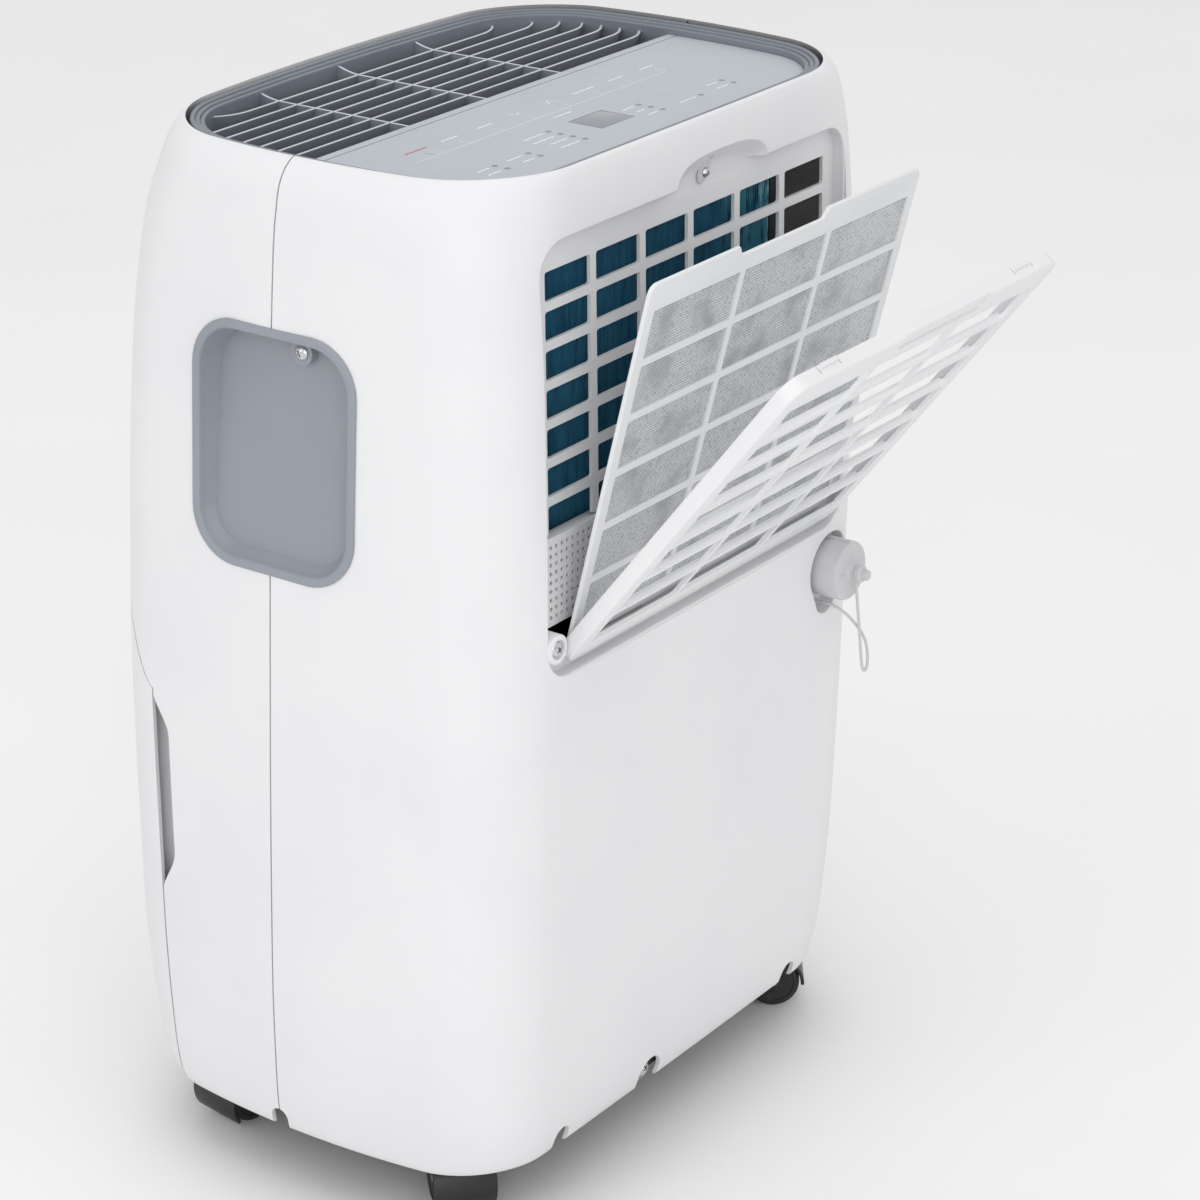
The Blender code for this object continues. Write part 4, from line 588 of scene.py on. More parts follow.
def cabinet_form(inset=0.0, low=BOTTOM_Z, high=TOP_Z, rounded=False):
    """Outer form of the cabinet; rounded draws its first and last edges in."""
    steps = [(z, 0.0) for z in levels(low, high)]
    if rounded:
        (foot, foot_in), (head, head_in) = FOOT_EDGE, HEAD_EDGE
        steps = [(z, more) for z, more in steps if low + foot[-1] + 1e-9 <= z <= high - head[0]]
        steps = ([(low + up, more) for up, more in zip(foot, foot_in)] + steps
                 + [(high - down, more) for down, more in zip(head, head_in)])
    return bm_loft([[(u, v, z) for u, v in cabinet_outline(z, inset + more)] for z, more in steps])


def inner_form():
    heights = [BOTTOM_Z - 0.002] + levels(BOTTOM_Z, 0.606) + [TOP_Z + 0.002]
    return bm_loft([[(u, v, z) for u, v in cabinet_outline(z, SHELL_WALL)] for z in heights])


def side_x(y, z):
    half_width, front, back, _ = section(z)
    across = (y - (back - front) / 2) / ((back + front) / 2)
    return half_width - SIDE_BOW * across ** 2


def back_y(x, z):
    """Outer face of the cabinet's back at a point."""
    half_width, _, back, radius = section(z)
    flat_half = half_width - SIDE_BOW
    along = min(abs(x) / flat_half, 1.0)
    y = back + BACK_BOW * (1 - along ** 2)
    past = abs(x) - (flat_half - radius)
    if past > 0:
        y -= radius - math.sqrt(max(radius ** 2 - past ** 2, 0.0))
    return y


def seam_y(z):
    return SEAM_Y - SEAM_LEAN * (SEAM_Z - z)


def seam_side(sign):
    far, edge = 0.30 * sign, SEAM_GAP / 2 * sign
    return bm_prism([(seam_y(0.0) + edge, 0.0), (far, 0.0), (far, 0.70), (seam_y(0.70) + edge, 0.70)],
                    "X", -0.30, 0.30)


def mouth_cutter(outline_at, floor_at, lip, floor_grow=0.0):
    """Pocket in the back with a rolled lip: outline_at(grow) is its outline, floor_at(x, z) its floor."""
    rings = []
    base = outline_at(floor_grow)
    rings.append([(u, floor_at(u, v), v) for u, v in base])
    steps = 4
    for k in range(steps + 1):
        angle = math.pi / 2 * k / steps
        depth, grow = lip * (1 - math.sin(angle)), lip * (1 - math.cos(angle))
        rings.append([(u, back_y(u, v) - depth, v) for u, v in outline_at(grow)])
    rings.append([(u, back_y(u, v) + 0.0004, v) for u, v in outline_at(lip)])
    rings.append([(u, 0.20, v) for u, v in outline_at(lip)])
    return bm_loft(rings)


# --- Cabinet shells ---
def recess_floor(_, v):
    return RECESS_FLOOR_Y - RECESS_LEAN * (v - RECESS_Z[0])


def recess_outline(grow):
    return rounded_rectangle((-RECESS_HALF - grow, RECESS_HALF + grow),
                             (RECESS_Z[0] - grow, RECESS_Z[1] + grow), RECESS_RADIUS + grow, 8)


def intake_recess(grow=0.0):
    outline = recess_outline(grow)
    return bm_loft([[(u, recess_floor(u, v) - grow, v) for u, v in outline],
                    [(u, 0.20, v) for u, v in outline]])


def finger_scoop(grow=0.0):
    """Dished half-moon above the recess, deepest where it runs into the recess."""
    rings = []
    base_z = RECESS_Z[1] - 0.004
    knots = ((0.1195, 0.0320, 0.0060), (0.1205, 0.0355, 0.0090), (0.1225, 0.0388, 0.0120),
             (0.1255, 0.0422, 0.0155), (0.1285, 0.0450, 0.0195), (0.1300, 0.0468, 0.0222),
             (0.1310, 0.0490, 0.0250), (0.1450, 0.0520, 0.0340))
    for y, half_width, height in knots:
        half_width += grow
        height += grow
        ring = [(SCOOP_X + half_width, y - grow, base_z - 0.004), (SCOOP_X + half_width, y - grow, base_z)]
        for k in range(1, 30):
            angle = math.pi * k / 30
            u = SCOOP_X + half_width * math.copysign(abs(math.cos(angle)) ** 0.7, math.cos(angle))
            ring.append((u, y - grow, base_z + height * math.sin(angle) ** 0.7))
        ring += [(SCOOP_X - half_width, y - grow, base_z), (SCOOP_X - half_width, y - grow, base_z - 0.004)]
        rings.append(ring)
    return bm_loft(rings)


def drain_outline(grow):
    radius = DRAIN_POCKET_RADIUS + grow
    outline = arc(DRAIN_X, DRAIN_Z, radius, -30, 210, 36)
    return outline + arc(DRAIN_X + 0.003, DRAIN_Z - 0.0160, 0.0125 + grow, 225, 315, 12)


def drain_pocket(grow=0.0):
    outline = drain_outline(grow)
    return bm_loft([[(a, DRAIN_POCKET_Y - grow, b) for a, b in outline], [(a, 0.16, b) for a, b in outline]])


def grid_windows():
    width, height = GRID_WINDOW
    windows = []
    for column in range(GRID_COLUMNS):
        right = GRID_LEFT_X - column * GRID_PITCH[0]
        for row in range(GRID_ROWS):
            top = GRID_TOP_Z - row * GRID_PITCH[1]
            outline = rounded_rectangle((right - width, right), (top - height, top), 0.0016, 4)
            windows.append(bm_prism(outline, "Y", 0.105, 0.140))
    return merge(*windows)


def grip_outline(inset, steps=10):
    half_y, half_z = GRIP_SIZE[0] / 2 - inset, GRIP_SIZE[1] / 2 - inset
    square = rounded_rectangle((-half_y, half_y), (-half_z, half_z), GRIP_RADIUS - inset, steps)
    return [(seam_y(GRIP_Z + w) + v, GRIP_Z + w) for v, w in square]


def grip_holes():
    outline = grip_outline(0.0026)
    return merge(bm_prism(outline, "X", 0.16, 0.22), bm_prism(outline, "X", -0.22, -0.16))


def arch(centre, half_width, top, low):
    foot = [(centre - half_width, low), (centre + half_width, low)]
    return foot + arc(centre, top - half_width, half_width, 0, 180, 14)


def seam_foot_scallops():
    y = seam_y(BOTTOM_Z)
    outline = arch(y, 0.006, BOTTOM_Z + 0.012, 0.02)
    return merge(bm_prism(outline, "X", 0.17, 0.21), bm_prism(outline, "X", -0.21, -0.17))


def bucket_side_outline(grow=0.0):
    edge, top, bend_z = BUCKET_EDGE_Y + grow, BUCKET_TOP_Z + grow, BUCKET_GRIP_Z[1]
    outline = [(-0.25, 0.01), (edge, 0.01), (edge, bend_z)]
    for k in range(1, 21):
        share = k / 20
        ease = share * share * (3 - 2 * share)
        outline.append((edge - 0.034 * share, bend_z + (top - bend_z) * (0.35 * share + 0.65 * ease)))
    return outline + [(-0.25, top)]


def bucket_grip_scoops():
    low, high = BUCKET_GRIP_Z
    outline = [(BUCKET_EDGE_Y - 0.01, low), (BUCKET_EDGE_Y, low)]
    for k in range(1, 30):
        share = k / 30
        rise = min(1.0, share / 0.24, (1.0 - share) / 0.20)
        reach = BUCKET_GRIP_DEPTH * rise * rise * (3 - 2 * rise)
        outline.append((BUCKET_EDGE_Y + reach, low + (high - low) * share))
    outline += [(BUCKET_EDGE_Y, high), (BUCKET_EDGE_Y - 0.01, high)]
    return merge(bm_prism(outline, "X", 0.15, 0.22), bm_prism(outline, "X", -0.22, -0.15))


def reference_form():
    form = cabinet_form(rounded=True)
    bmesh.ops.recalc_face_normals(form, faces=form.faces)
    form.normal_update()
    return form


def make_front_shell():
    shell = object_from(cabinet_form(rounded=True), "looks_front_shell", "shell_white")
    cut(shell, inner_form())
    keep(shell, seam_side(-1))
    cut(shell, bm_prism(bucket_side_outline(0.0010), "X", -0.22, 0.22), bucket_grip_scoops(), grip_holes(),
        seam_foot_scallops())
    finish_mesh(shell, 30.0)
    follow_form(shell, reference_form())
    placed(shell, "cabinet", "front_shell", slot="shell_white")


def make_seam_shadow_strip():
    """Black strip a little below the surface in the seam: painted shadow of the seam's gap."""
    # Painted shadow: a black strip set where the seam's gap is only in shade.
    seam_shadow = object_from(cabinet_form(0.0013, BOTTOM_Z + 0.0120, TOP_Z - 0.0014), "looks_seam_painted_shadow",
                         "inner_black")
    cut(seam_shadow, inner_form())
    y0, y1 = seam_y(0.0), seam_y(0.70)
    slab = [(y0 - 0.0004, 0.0), (y0 + 0.0004, 0.0), (y1 + 0.0004, 0.70), (y1 - 0.0004, 0.70)]
    keep(seam_shadow, bm_prism(slab, "X", -0.30, 0.30))
    cut(seam_shadow, grip_holes())
    finish_mesh(seam_shadow, 32.0)
    placed(seam_shadow, "cabinet", slot="inner_black")


def pocket_plug(half_u, half_v, low, high):
    """Slanting oval for the screw pocket in the finger scoop."""
    plug = bm_prism([(half_u * u, half_v * v) for u, v in arc(0, 0, 1, 0, 350, 34)], "Y", low, high)
    plug.transform(Matrix.Translation(POCKET_PLACE) @ Matrix.Rotation(math.radians(-30), 4, "Y"))
    return plug


def make_rear_shell():
    shell = object_from(cabinet_form(rounded=True), "looks_rear_shell", "shell_white")
    cut(shell, mouth_cutter(recess_outline, recess_floor, 0.0014), finger_scoop(),
        mouth_cutter(drain_outline, lambda u, v: DRAIN_POCKET_Y, 0.0010))
    hollow = object_from(inner_form(), "hollow")
    cut(hollow, intake_recess(GRID_PLATE), finger_scoop(SHELL_WALL), drain_pocket(SHELL_WALL))
    cut(shell, taken(hollow))
    keep(shell, seam_side(1))
    cut(shell, grid_windows(),
        bm_box((SENSOR_X[0] - 0.0022, 0.105, RECESS_Z[0] + 0.0095),
               (SENSOR_X[1] + 0.0022, 0.140, SENSOR_Z[1] + 0.0016)),
        grip_holes(), seam_foot_scallops())
    arches = []
    for x, half_width, height in ((0.118, 0.007, 0.013), (0.031, 0.011, 0.018), (-0.122, 0.007, 0.013)):
        arches.append(bm_prism(arch(x, half_width, BOTTOM_Z + height, 0.02), "Y", 0.100, 0.140))
    cut(shell, *arches)
    cut(shell, bm_turned(((0.10, 0.0136), (0.14, 0.0136)), "Y", (DRAIN_X, DRAIN_Z)))
    boss = ((0.1120, BOSS_RADIUS), (0.1322, BOSS_RADIUS), (0.1328, BOSS_RADIUS - 0.0003),
            (0.1330, BOSS_RADIUS - 0.0009))
    join(shell, bm_turned(boss, "Y", (BOSS_X, BOSS_Z)),
         bm_pillow(rounded_at((-0.1490, -0.1436), (0.3455, 0.3585), 0.0020, 4), "Y", 0.1215, 0.1325, 0.0006))
    bore = ((0.105, 0.0018), (0.1312, 0.0018), (0.1313, 0.0056), (0.140, 0.0058))
    cut(shell, bm_turned(bore, "Y", (BOSS_X, BOSS_Z)))
    for hole_x in ((BOSS_X - BOSS_RADIUS - 0.001, BOSS_X - BOSS_RADIUS + 0.0030), (-0.1478, -0.1426)):
        cut(shell, bm_turned([(x, 0.0024) for x in hole_x], "X", (HINGE_Y, HINGE_Z), 24))
    cut(shell, pocket_plug(*POCKET_HALVES, -0.0052, 0.0200))
    finish_mesh(shell, 30.0)
    follow_form(shell, reference_form())
    placed(shell, "cabinet", "rear_shell", slot="shell_white")
    floor = pocket_plug(POCKET_HALVES[0] - 0.0001, POCKET_HALVES[1] - 0.0001, -0.0058, -0.0044)
    placed(object_from(floor, "looks_pocket_floor", "cap_grey"), "cabinet", slot="cap_grey")
    make_screw("looks_pocket_screw", (POCKET_PLACE[0], 0.1219, 0.5830), (0, 1, 0), 0.0028, 0.0010)


# --- Top ---
def ring_at(inset, z):
    return [(u, v, z) for u, v in cabinet_outline(TOP_Z, inset)]


def stepped_ring():
    """Bands that step down inside the rim, each with a softened edge."""
    bottom, edge = 0.5960, 0.0004
    rings = [ring_at(RING_STEPS[0][0], bottom)]
    for (inset, top), (next_inset, _) in zip(RING_STEPS, RING_STEPS[1:]):
        rings += [ring_at(inset, top - edge), ring_at(inset + edge, top),
                  ring_at(next_inset - edge * 0.5, top), ring_at(next_inset, top - edge)]
    inset, top = RING_STEPS[-1]
    rings += [ring_at(inset, top - 0.0002), ring_at(inset, bottom)]
    return bm_loft(rings, closed_way=True)


def inner_top(inset=0.0080):
    return bm_prism(cabinet_outline(TOP_Z, inset), "Z", 0.55, 0.62)


def rim_x(y):
    """Half width inside the ring at a given y."""
    widths = [abs(u) for u, v in cabinet_outline(TOP_Z, RING_STEPS[-1][0]) if abs(v - y) < 0.0040]
    return sum(widths) / len(widths)


def louvre_path(y, first):
    """Plan view of a louvre, bending forward where it meets the rim; the first bends at both ends."""
    bend, turn = 0.0300, 42
    reach = rim_x(y - 0.006) - 0.0180
    path = []
    if first:
        path += arc(reach - 0.0040, y - bend, bend, 90 - turn - 10, 90, 10)
    else:
        path.append((0.175, y))
    return path + arc(-reach, y - bend, bend, 90, 90 + turn + 14, 12)


def swept_wall(path, profile):
    """Closed wall along a plan path; profile gives (offset to the left of the way, height)."""
    rings = []
    for k, (x, y) in enumerate(path):
        before, after = path[max(k - 1, 0)], path[min(k + 1, len(path) - 1)]
        way = Vector((after[0] - before[0], after[1] - before[1])).normalized()
        left = Vector((-way.y, way.x))
        rings.append([(x + left.x * offset, y + left.y * offset, z) for offset, z in profile])
    return bm_loft(rings)


def make_outlet_grille():
    grille = object_from(stepped_ring(), "looks_outlet_grille", "grille_grey")
    finish_mesh(grille, 40.0)
    low, high = LOUVRE_Z
    profile = ((0.0, high - 0.0004), (0.0003, high - 0.0001), (0.0006, high), (0.0010, high),
               (0.0013, high - 0.0001), (0.0016, high - 0.0004), (0.0046, low), (0.0030, low))
    walls = [swept_wall(louvre_path(LOUVRE_BAR_Y[0] - (k + 1) * LOUVRE_PITCH, k == LOUVRE_COUNT - 1), profile)
             for k in range(LOUVRE_COUNT)]
    slats = object_from(merge(*walls), "looks_louvres", "louvre_grey")
    keep(slats, inner_top())
    finish_mesh(slats, 40.0)
    plan = rounded_at((-0.25, 0.25), (LOUVRE_BAR_Y[0], LOUVRE_BAR_Y[1] - 0.0004), 0.0006, 2)
    bar = object_from(bm_pillow(plan, "Z", 0.5970, PANEL_TOP_Z, 0.0003, 2), "looks_grille_bar", "panel_grey")
    keep(bar, inner_top(RING_STEPS[-1][0] + 0.0001))
    finish_mesh(bar, 40.0)
    ribs = []
    for x in LOUVRE_RIBS_X:
        side = [(-0.25, 0.5975), (-0.0080, 0.5975), (-0.0080, high - 0.0001), (-0.0980, high - 0.0001)]
        side += [(-0.0980 - 0.0150 * k / 8, high - 0.0001 + 0.0027 * (k / 8) ** 2) for k in range(1, 9)]
        ribs.append(bm_prism(side + [(-0.25, high + 0.0026)], "X", x - 0.0009, x + 0.0009))
    rib_set = object_from(merge(*ribs), "looks_grille_ribs", "louvre_grey")
    keep(rib_set, inner_top())
    finish_mesh(rib_set, 40.0)
    corners = ((0.0096, 0.5962), (0.0118, 0.5962), (0.0118, 0.5640), (0.0096, 0.5640))
    skirt = object_from(bm_loft([ring_at(*corner) for corner in corners], closed_way=True),
                        "looks_grille_skirt", "grille_grey")
    cut(skirt, bm_box((-0.25, -0.0028, 0.55), (0.25, 0.25, 0.60)))
    finish_mesh(skirt, 40.0)
    # Upward-facing top faces of louvres and ribs get the lighter grey: painted highlight where light falls
    # from above.
    for piece in (slats, rib_set):
        piece.data.materials.append(MATERIALS["louvre_top_highlight"])
        for polygon in piece.data.polygons:
            polygon.material_index = int(polygon.normal.z > 0.55 and polygon.center.z > LOUVRE_Z[1] - 0.0006)
    for piece in (grille, slats, bar, rib_set, skirt):
        placed(piece, "cabinet", slot="panel_grey" if piece is bar else "grille_grey")
    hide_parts("outlet_grille")


def bm_bar(x0, x1, y0, y1):
    return bm_box((x0, y0, PRINT_Z[0]), (x1, y1, PRINT_Z[1]))


def wordlike(x, y, length, seed, height=0.0015):
    """Row of short dashes, as a small printed legend reads from afar."""
    bars, at, k = [], x, 0
    while at < x + length:
        width = 0.0008 + 0.0011 * ((seed * 7 + k * 5) % 4) / 3
        drop = height * (0.0, 0.25, 0.0, 0.35)[(seed + k) % 4]
        bars.append(bm_bar(at, min(at + width, x + length), y - height / 2, y + height / 2 - drop))
        at += width + 0.0005
        k += 1
    return bars


def chevron(x, y, point):
    """Arrow head of two bars; point is +1 for up and -1 for down."""
    arms = []
    for side in (-1, 1):
        tip = side * 0.0036
        arm = bm_prism([(-0.0003, 0.0), (0.0003, 0.0), (tip + 0.0003, 0.0052), (tip - 0.0003, 0.0052)],
                       "Z", *PRINT_Z)
        if point < 0:
            arm.transform(Matrix.Rotation(math.pi, 4, "Z") @ Matrix.Translation((0, -0.0052, 0)))
        arm.transform(Matrix.Translation((x, y - 0.0026, 0)))
        arms.append(arm)
    return arms


LED_GROUPS = ((0.1158, (0.0757, 0.0836), 0.0120), (0.0864, (0.0757, 0.0836), 0.0130),
              (0.0460, (0.0595, 0.0675, 0.0755, 0.0836), 0.0190), (-0.0275, (0.0675, 0.0755, 0.0836), 0.0100),
              (-0.0650, (0.0836,), 0.0150), (-0.0980, (0.0755, 0.0836), 0.0120))
KEYS = ((0.0880, 0.0140), (0.0575, 0.0130), (-0.0350, 0.0200), (-0.0660, 0.0140), (-0.0965, 0.0130))


def make_control_panel():
    outline = cabinet_outline(TOP_Z, RING_STEPS[-1][0] + 0.0004)
    panel = object_from(bm_prism(outline, "Z", 0.6046, PANEL_TOP_Z), "looks_control_panel", "panel_grey")
    keep(panel, bm_box((-0.25, PANEL_FRONT_Y + 0.0002, 0.60), (0.25, 0.25, 0.62)))
    (cx, cy), (sx, sy) = DISPLAY_CENTRE, DISPLAY_SIZE
    cut(panel, bm_box((cx - sx / 2, cy - sy / 2, 0.60), (cx + sx / 2, cy + sy / 2, 0.62)))
    finish_mesh(panel, 35.0)
    placed(panel, "cabinet", "control_panel", slot="panel_grey")
    window = rounded_at((cx - sx / 2 + 0.0003, cx + sx / 2 - 0.0003),
                        (cy - sy / 2 + 0.0003, cy + sy / 2 - 0.0003), 0.0008, 4)
    glass = object_from(bm_pillow(window, "Z", 0.6052, PRINT_Z[0], 0.0002), "looks_display", "display_grey")
    placed(glass, "cabinet", "display_window", slot="display_grey")
    white, dots = [bm_bar(-0.0960, 0.1340, 0.0388, 0.0391)], []
    seed = 1
    for x, length in KEYS:
        white += wordlike(x - length / 2, 0.0250, length, seed)
        white.append(bm_bar(x - 0.0001, x + 0.0001, 0.0310, 0.0388))
        seed += 1
    for x, point in ((0.0270, -1), (-0.0045, 1)):
        white += chevron(x, 0.0240, point)
        white.append(bm_bar(x - 0.0001, x + 0.0001, 0.0310, 0.0388))
    white += wordlike(0.0050, 0.0455, 0.0170, 3)
    for x, rows, length in LED_GROUPS:
        for y in rows:
            lamp = ((PRINT_Z[0], 0.0019), (PANEL_TOP_Z + 0.00004, 0.0018))
            dots.append(bm_turned(lamp, "Z", (x, y), 24))
            white += wordlike(x + 0.0055, y, length * (0.75 + 0.25 * (seed % 3) / 2), seed)
            seed += 1
    red = wordlike(0.1080, 0.0250, 0.0185, 5) + [bm_bar(0.1172, 0.1174, 0.0310, 0.0388)]
    for name, bars, look in (("looks_legends", white, "print_white"),
                             ("looks_power_legend", red, "print_red"),
                             ("looks_lamps", dots, "print_dark")):
        placed(object_from(merge(*bars), name, look, None), "cabinet", slot="panel_grey")


# --- Side grips, screws, sensor cover ---
def grip_ring(inset, offset=None, floor=None):
    ring = []
    for y, z in grip_outline(inset):
        if floor is None:
            x = side_x(y, z) + offset
        else:
            share = (z - GRIP_Z) / GRIP_SIZE[1] + 0.5
            forward = max(0.0, (seam_y(GRIP_Z) - y) / GRIP_SIZE[0])
            depth = GRIP_DEPTH[1] + (GRIP_DEPTH[0] - GRIP_DEPTH[1]) * share + GRIP_FRONT_DEPTH * forward
            x = side_x(seam_y(GRIP_Z), GRIP_Z) - depth - floor
        ring.append((x, y, z))
    return ring


def between(ring, other, share):
    return [tuple(a + (b - a) * share for a, b in zip(p, q)) for p, q in zip(ring, other)]


def make_side_grip(side, label):
    lip, sole = grip_ring(0.0058, offset=-0.0006), grip_ring(0.0100, floor=0.0)
    rings = [grip_ring(0.0090, floor=0.0026)] + [grip_ring(*step) for step in GRIP_FLANGE]
    rings += [lip, between(lip, sole, 0.45), between(lip, sole, 0.82), sole, grip_ring(0.0125, floor=-0.0002)]
    cup = object_from(bm_loft(rings), "looks_side_grip_" + label, "grip_grey")
    y, z = GRIP_SCREW
    face_x = side_x(y, z)
    seat = face_x - GRIP_SEAT
    join(cup, bm_turned(((seat - 0.0082, 0.0070), (seat, 0.0070)), "X", (y, z)))
    cut(cup, bm_turned(((seat, 0.0054), (face_x + 0.0100, 0.0058)), "X", (y, z)),
        bm_turned(((seat - 0.0120, 0.0018), (seat + 0.0010, 0.0018)), "X", (y, z), 24))
    if side < 0:
        cup.data.transform(Matrix.Scale(-1, 4, (1, 0, 0)))
        cup.data.flip_normals()
    finish_mesh(cup, 38.0)
    placed(cup, "cabinet", "side_grip_" + label, slot="grip_grey")


def make_screw(name, head_point, axis, head_radius, shank, *nodes):
    """Domed cross-recess screw, seen head on."""
    dome = [(0.0023 - 0.0016 * (k / 6) ** 2, head_radius * (0.10 + 0.84 * k / 6)) for k in range(6, -1, -1)]
    profile = [(-shank, 0.0011), (-0.0001, 0.0014), (0.0, head_radius * 0.96), (0.0003, head_radius)] + dome
    screw = object_from(bm_turned(profile, "Z", (0, 0), 32), name, "screw_chrome")
    arm, half = head_radius * 0.58, head_radius * 0.13
    cross = [(arm, -half), (arm, half), (half, half), (half, arm), (-half, arm), (-half, half), (-arm, half),
             (-arm, -half), (-half, -half), (-half, -arm), (half, -arm), (half, -half)]
    cut(screw, bm_loft([[(u * 0.62, v * 0.62, 0.0007) for u, v in cross],
                        [(u, v, 0.0035) for u, v in cross]]))
    finish_mesh(screw, 30.0)
    turn = Vector((0, 0, 1)).rotation_difference(Vector(axis)).to_matrix().to_4x4()
    screw.data.transform(Matrix.Translation(head_point) @ turn @ Matrix.Rotation(0.5, 4, "Z"))
    placed(screw, "cabinet", *nodes, slot="screw_chrome")


def make_screws():
    y, z = GRIP_SCREW
    seat = side_x(y, z) - GRIP_SEAT + 0.0003
    make_screw("looks_grip_screw_right", (seat, y, z), (1, 0, 0), 0.0042, 0.0080, "grip_screw_right")
    make_screw("looks_grip_screw_left", (-seat, y, z), (-1, 0, 0), 0.0042, 0.0080, "grip_screw_left")
    make_screw("looks_back_screw", (BOSS_X, 0.1316, BOSS_Z), (0, 1, 0), 0.0046, 0.0120, "back_screw")
    make_screw("looks_base_screw", (0.031, 0.1010, 0.0397), (0, 0, -1), 0.0042, 0.0060, "base_screw")
    make_screw("looks_arch_screw", (0.031, 0.1140, 0.0470), (0, 1, 0.15), 0.0050, 0.0060)
    ring = bm_turned(((0.1060, 0.0078), (0.1128, 0.0078), (0.1134, 0.0070)), "Y", (0.031, 0.0470))
    placed(object_from(ring, "looks_arch_boss", "grip_grey"), "cabinet", slot="grip_grey")


def make_sensor_cover():
    (x0, x1), (z0, z1) = SENSOR_X, SENSOR_Z
    outline_at = rounded_at((x0, x1), (z0, z1), 0.0012, 4)
    cover = object_from(bm_pillow(outline_at, "Y", 0.1160, SENSOR_FACE_Y, 0.0005, 3), "looks_sensor_cover",
                        "shell_white")
    cut(cover, bm_box((x0 + 0.0018, 0.110, z0 + 0.0018), (x1 - 0.0018, SENSOR_FACE_Y - 0.0012, z1 - 0.0018)))
    holes = []
    for i in range(17):
        for j in range(9):
            u, v = x0 + 0.0050 + i * 0.0050, z0 + 0.0052 + j * 0.0050
            holes.append(bm_turned(((0.1200, 0.00125), (0.1260, 0.00125)), "Y", (u, v), 14))
    cut(cover, merge(*holes))
    finish_mesh(cover, 35.0)
    placed(cover, "cabinet", "sensor_cover", slot="shell_white")


# --- Flap and filter ---
def slots(x_range, z_range, columns, rows, rib, slat, y_range, radius=0.0010):
    (x0, x1), (z0, z1) = x_range, z_range
    width = (x1 - x0 - rib * (columns - 1)) / columns
    height = (z1 - z0 - slat * (rows - 1)) / rows
    found = []
    for i in range(columns):
        for j in range(rows):
            u, v = x0 + i * (width + rib), z0 + j * (height + slat)
            outline = rounded_rectangle((u, u + width), (v, v + height), radius, 4)
            found.append(bm_prism(outline, "Y", *y_range))
    return merge(*found)


def make_flap():
    (x0, x1), (z0, z1), (y0, y1) = FLAP_X, FLAP_Z, FLAP_Y
    rim = 0.0024
    flap = object_from(bm_pillow(rounded_at((x0, x1), (z0, z1), 0.0120, 8), "Y", y0, y1, 0.0009),
                       "looks_rear_flap", "flap_white")
    tray = rounded_rectangle((x0 + rim, x1 - rim), (z0 + rim, z1 - rim), 0.0096, 8)
    cut(flap, bm_prism(tray, "Y", y0 - 0.01, y1 - FLAP_SKIN),
        slots((x0 + 0.0130, x1 - 0.0130), (z0 + 0.0150, z1 - 0.0200), 3, 7, 0.0050, 0.0045,
              (y0 - 0.01, y1 + 0.01)))
    pitch = (z1 - z0 - 0.0350 + 0.0045) / 7
    slats = []
    for row in range(1, 7):
        v = z0 + 0.0150 + row * pitch - 0.0045
        outline = [(-0.0004, v), (y1 - FLAP_SKIN + 0.0005, v), (y1 - FLAP_SKIN + 0.0005, v + 0.0022),
                   (0.0000, v + 0.0022), (-0.0004, v + 0.0018)]
        slats.append(bm_prism(outline, "X", x0 + 0.0120, x1 - 0.0120))
    join(flap, merge(*slats))
    notch = rounded_rectangle((SCOOP_X - SCOOP_HALF, SCOOP_X + SCOOP_HALF),
                              (z1 - 0.0120, z1 + 0.0200), 0.0060)
    cut(flap, bm_prism(notch, "Y", y1 - 0.0014, y1 + 0.01))
    for x in (-0.105, 0.094):
        hook = [(y0 + 0.0006, z1 - 0.0010), (y0 + 0.0030, z1 - 0.0010), (y0 + 0.0030, z1 + 0.0012),
                (y0 + 0.0006, z1 + 0.0018)]
        join(flap, bm_prism(hook, "X", x - 0.0075, x + 0.0075))
        for slit in (x - 0.0095, x + 0.0095):
            cut(flap, bm_box((slit - 0.0006, y0 - 0.001, z1 - 0.0120),
                             (slit + 0.0006, y0 + 0.0052, z1 + 0.01)))
    for ends in ((x1 - 0.0010, x1 + 0.0034), (x0 - 0.0028, x0 + 0.0010)):
        join(flap, bm_turned([(x, 0.0019) for x in ends], "X", (0.0, 0.0), 24))
    cut(flap, bm_box((-0.2, y0 - 0.01, z0 - 0.001), (0.2, -0.0015, 0.0045)))
    finish_mesh(flap, 35.0)
    flap.data.transform(Matrix.Translation((0, HINGE_Y, HINGE_Z)) @ Matrix.Rotation(-FLAP_OPEN, 4, "X"))
    placed(flap, "flap", "rear_flap", slot="flap_white")


def filter_place():
    y, z = FILTER_BASE
    sine, cosine = math.sin(FLAP_OPEN), math.cos(FLAP_OPEN)
    base = (0.0, HINGE_Y + y * cosine + z * sine, HINGE_Z - y * sine + z * cosine)
    return Matrix.Translation(base) @ Matrix.Rotation(-FILTER_OPEN, 4, "X")


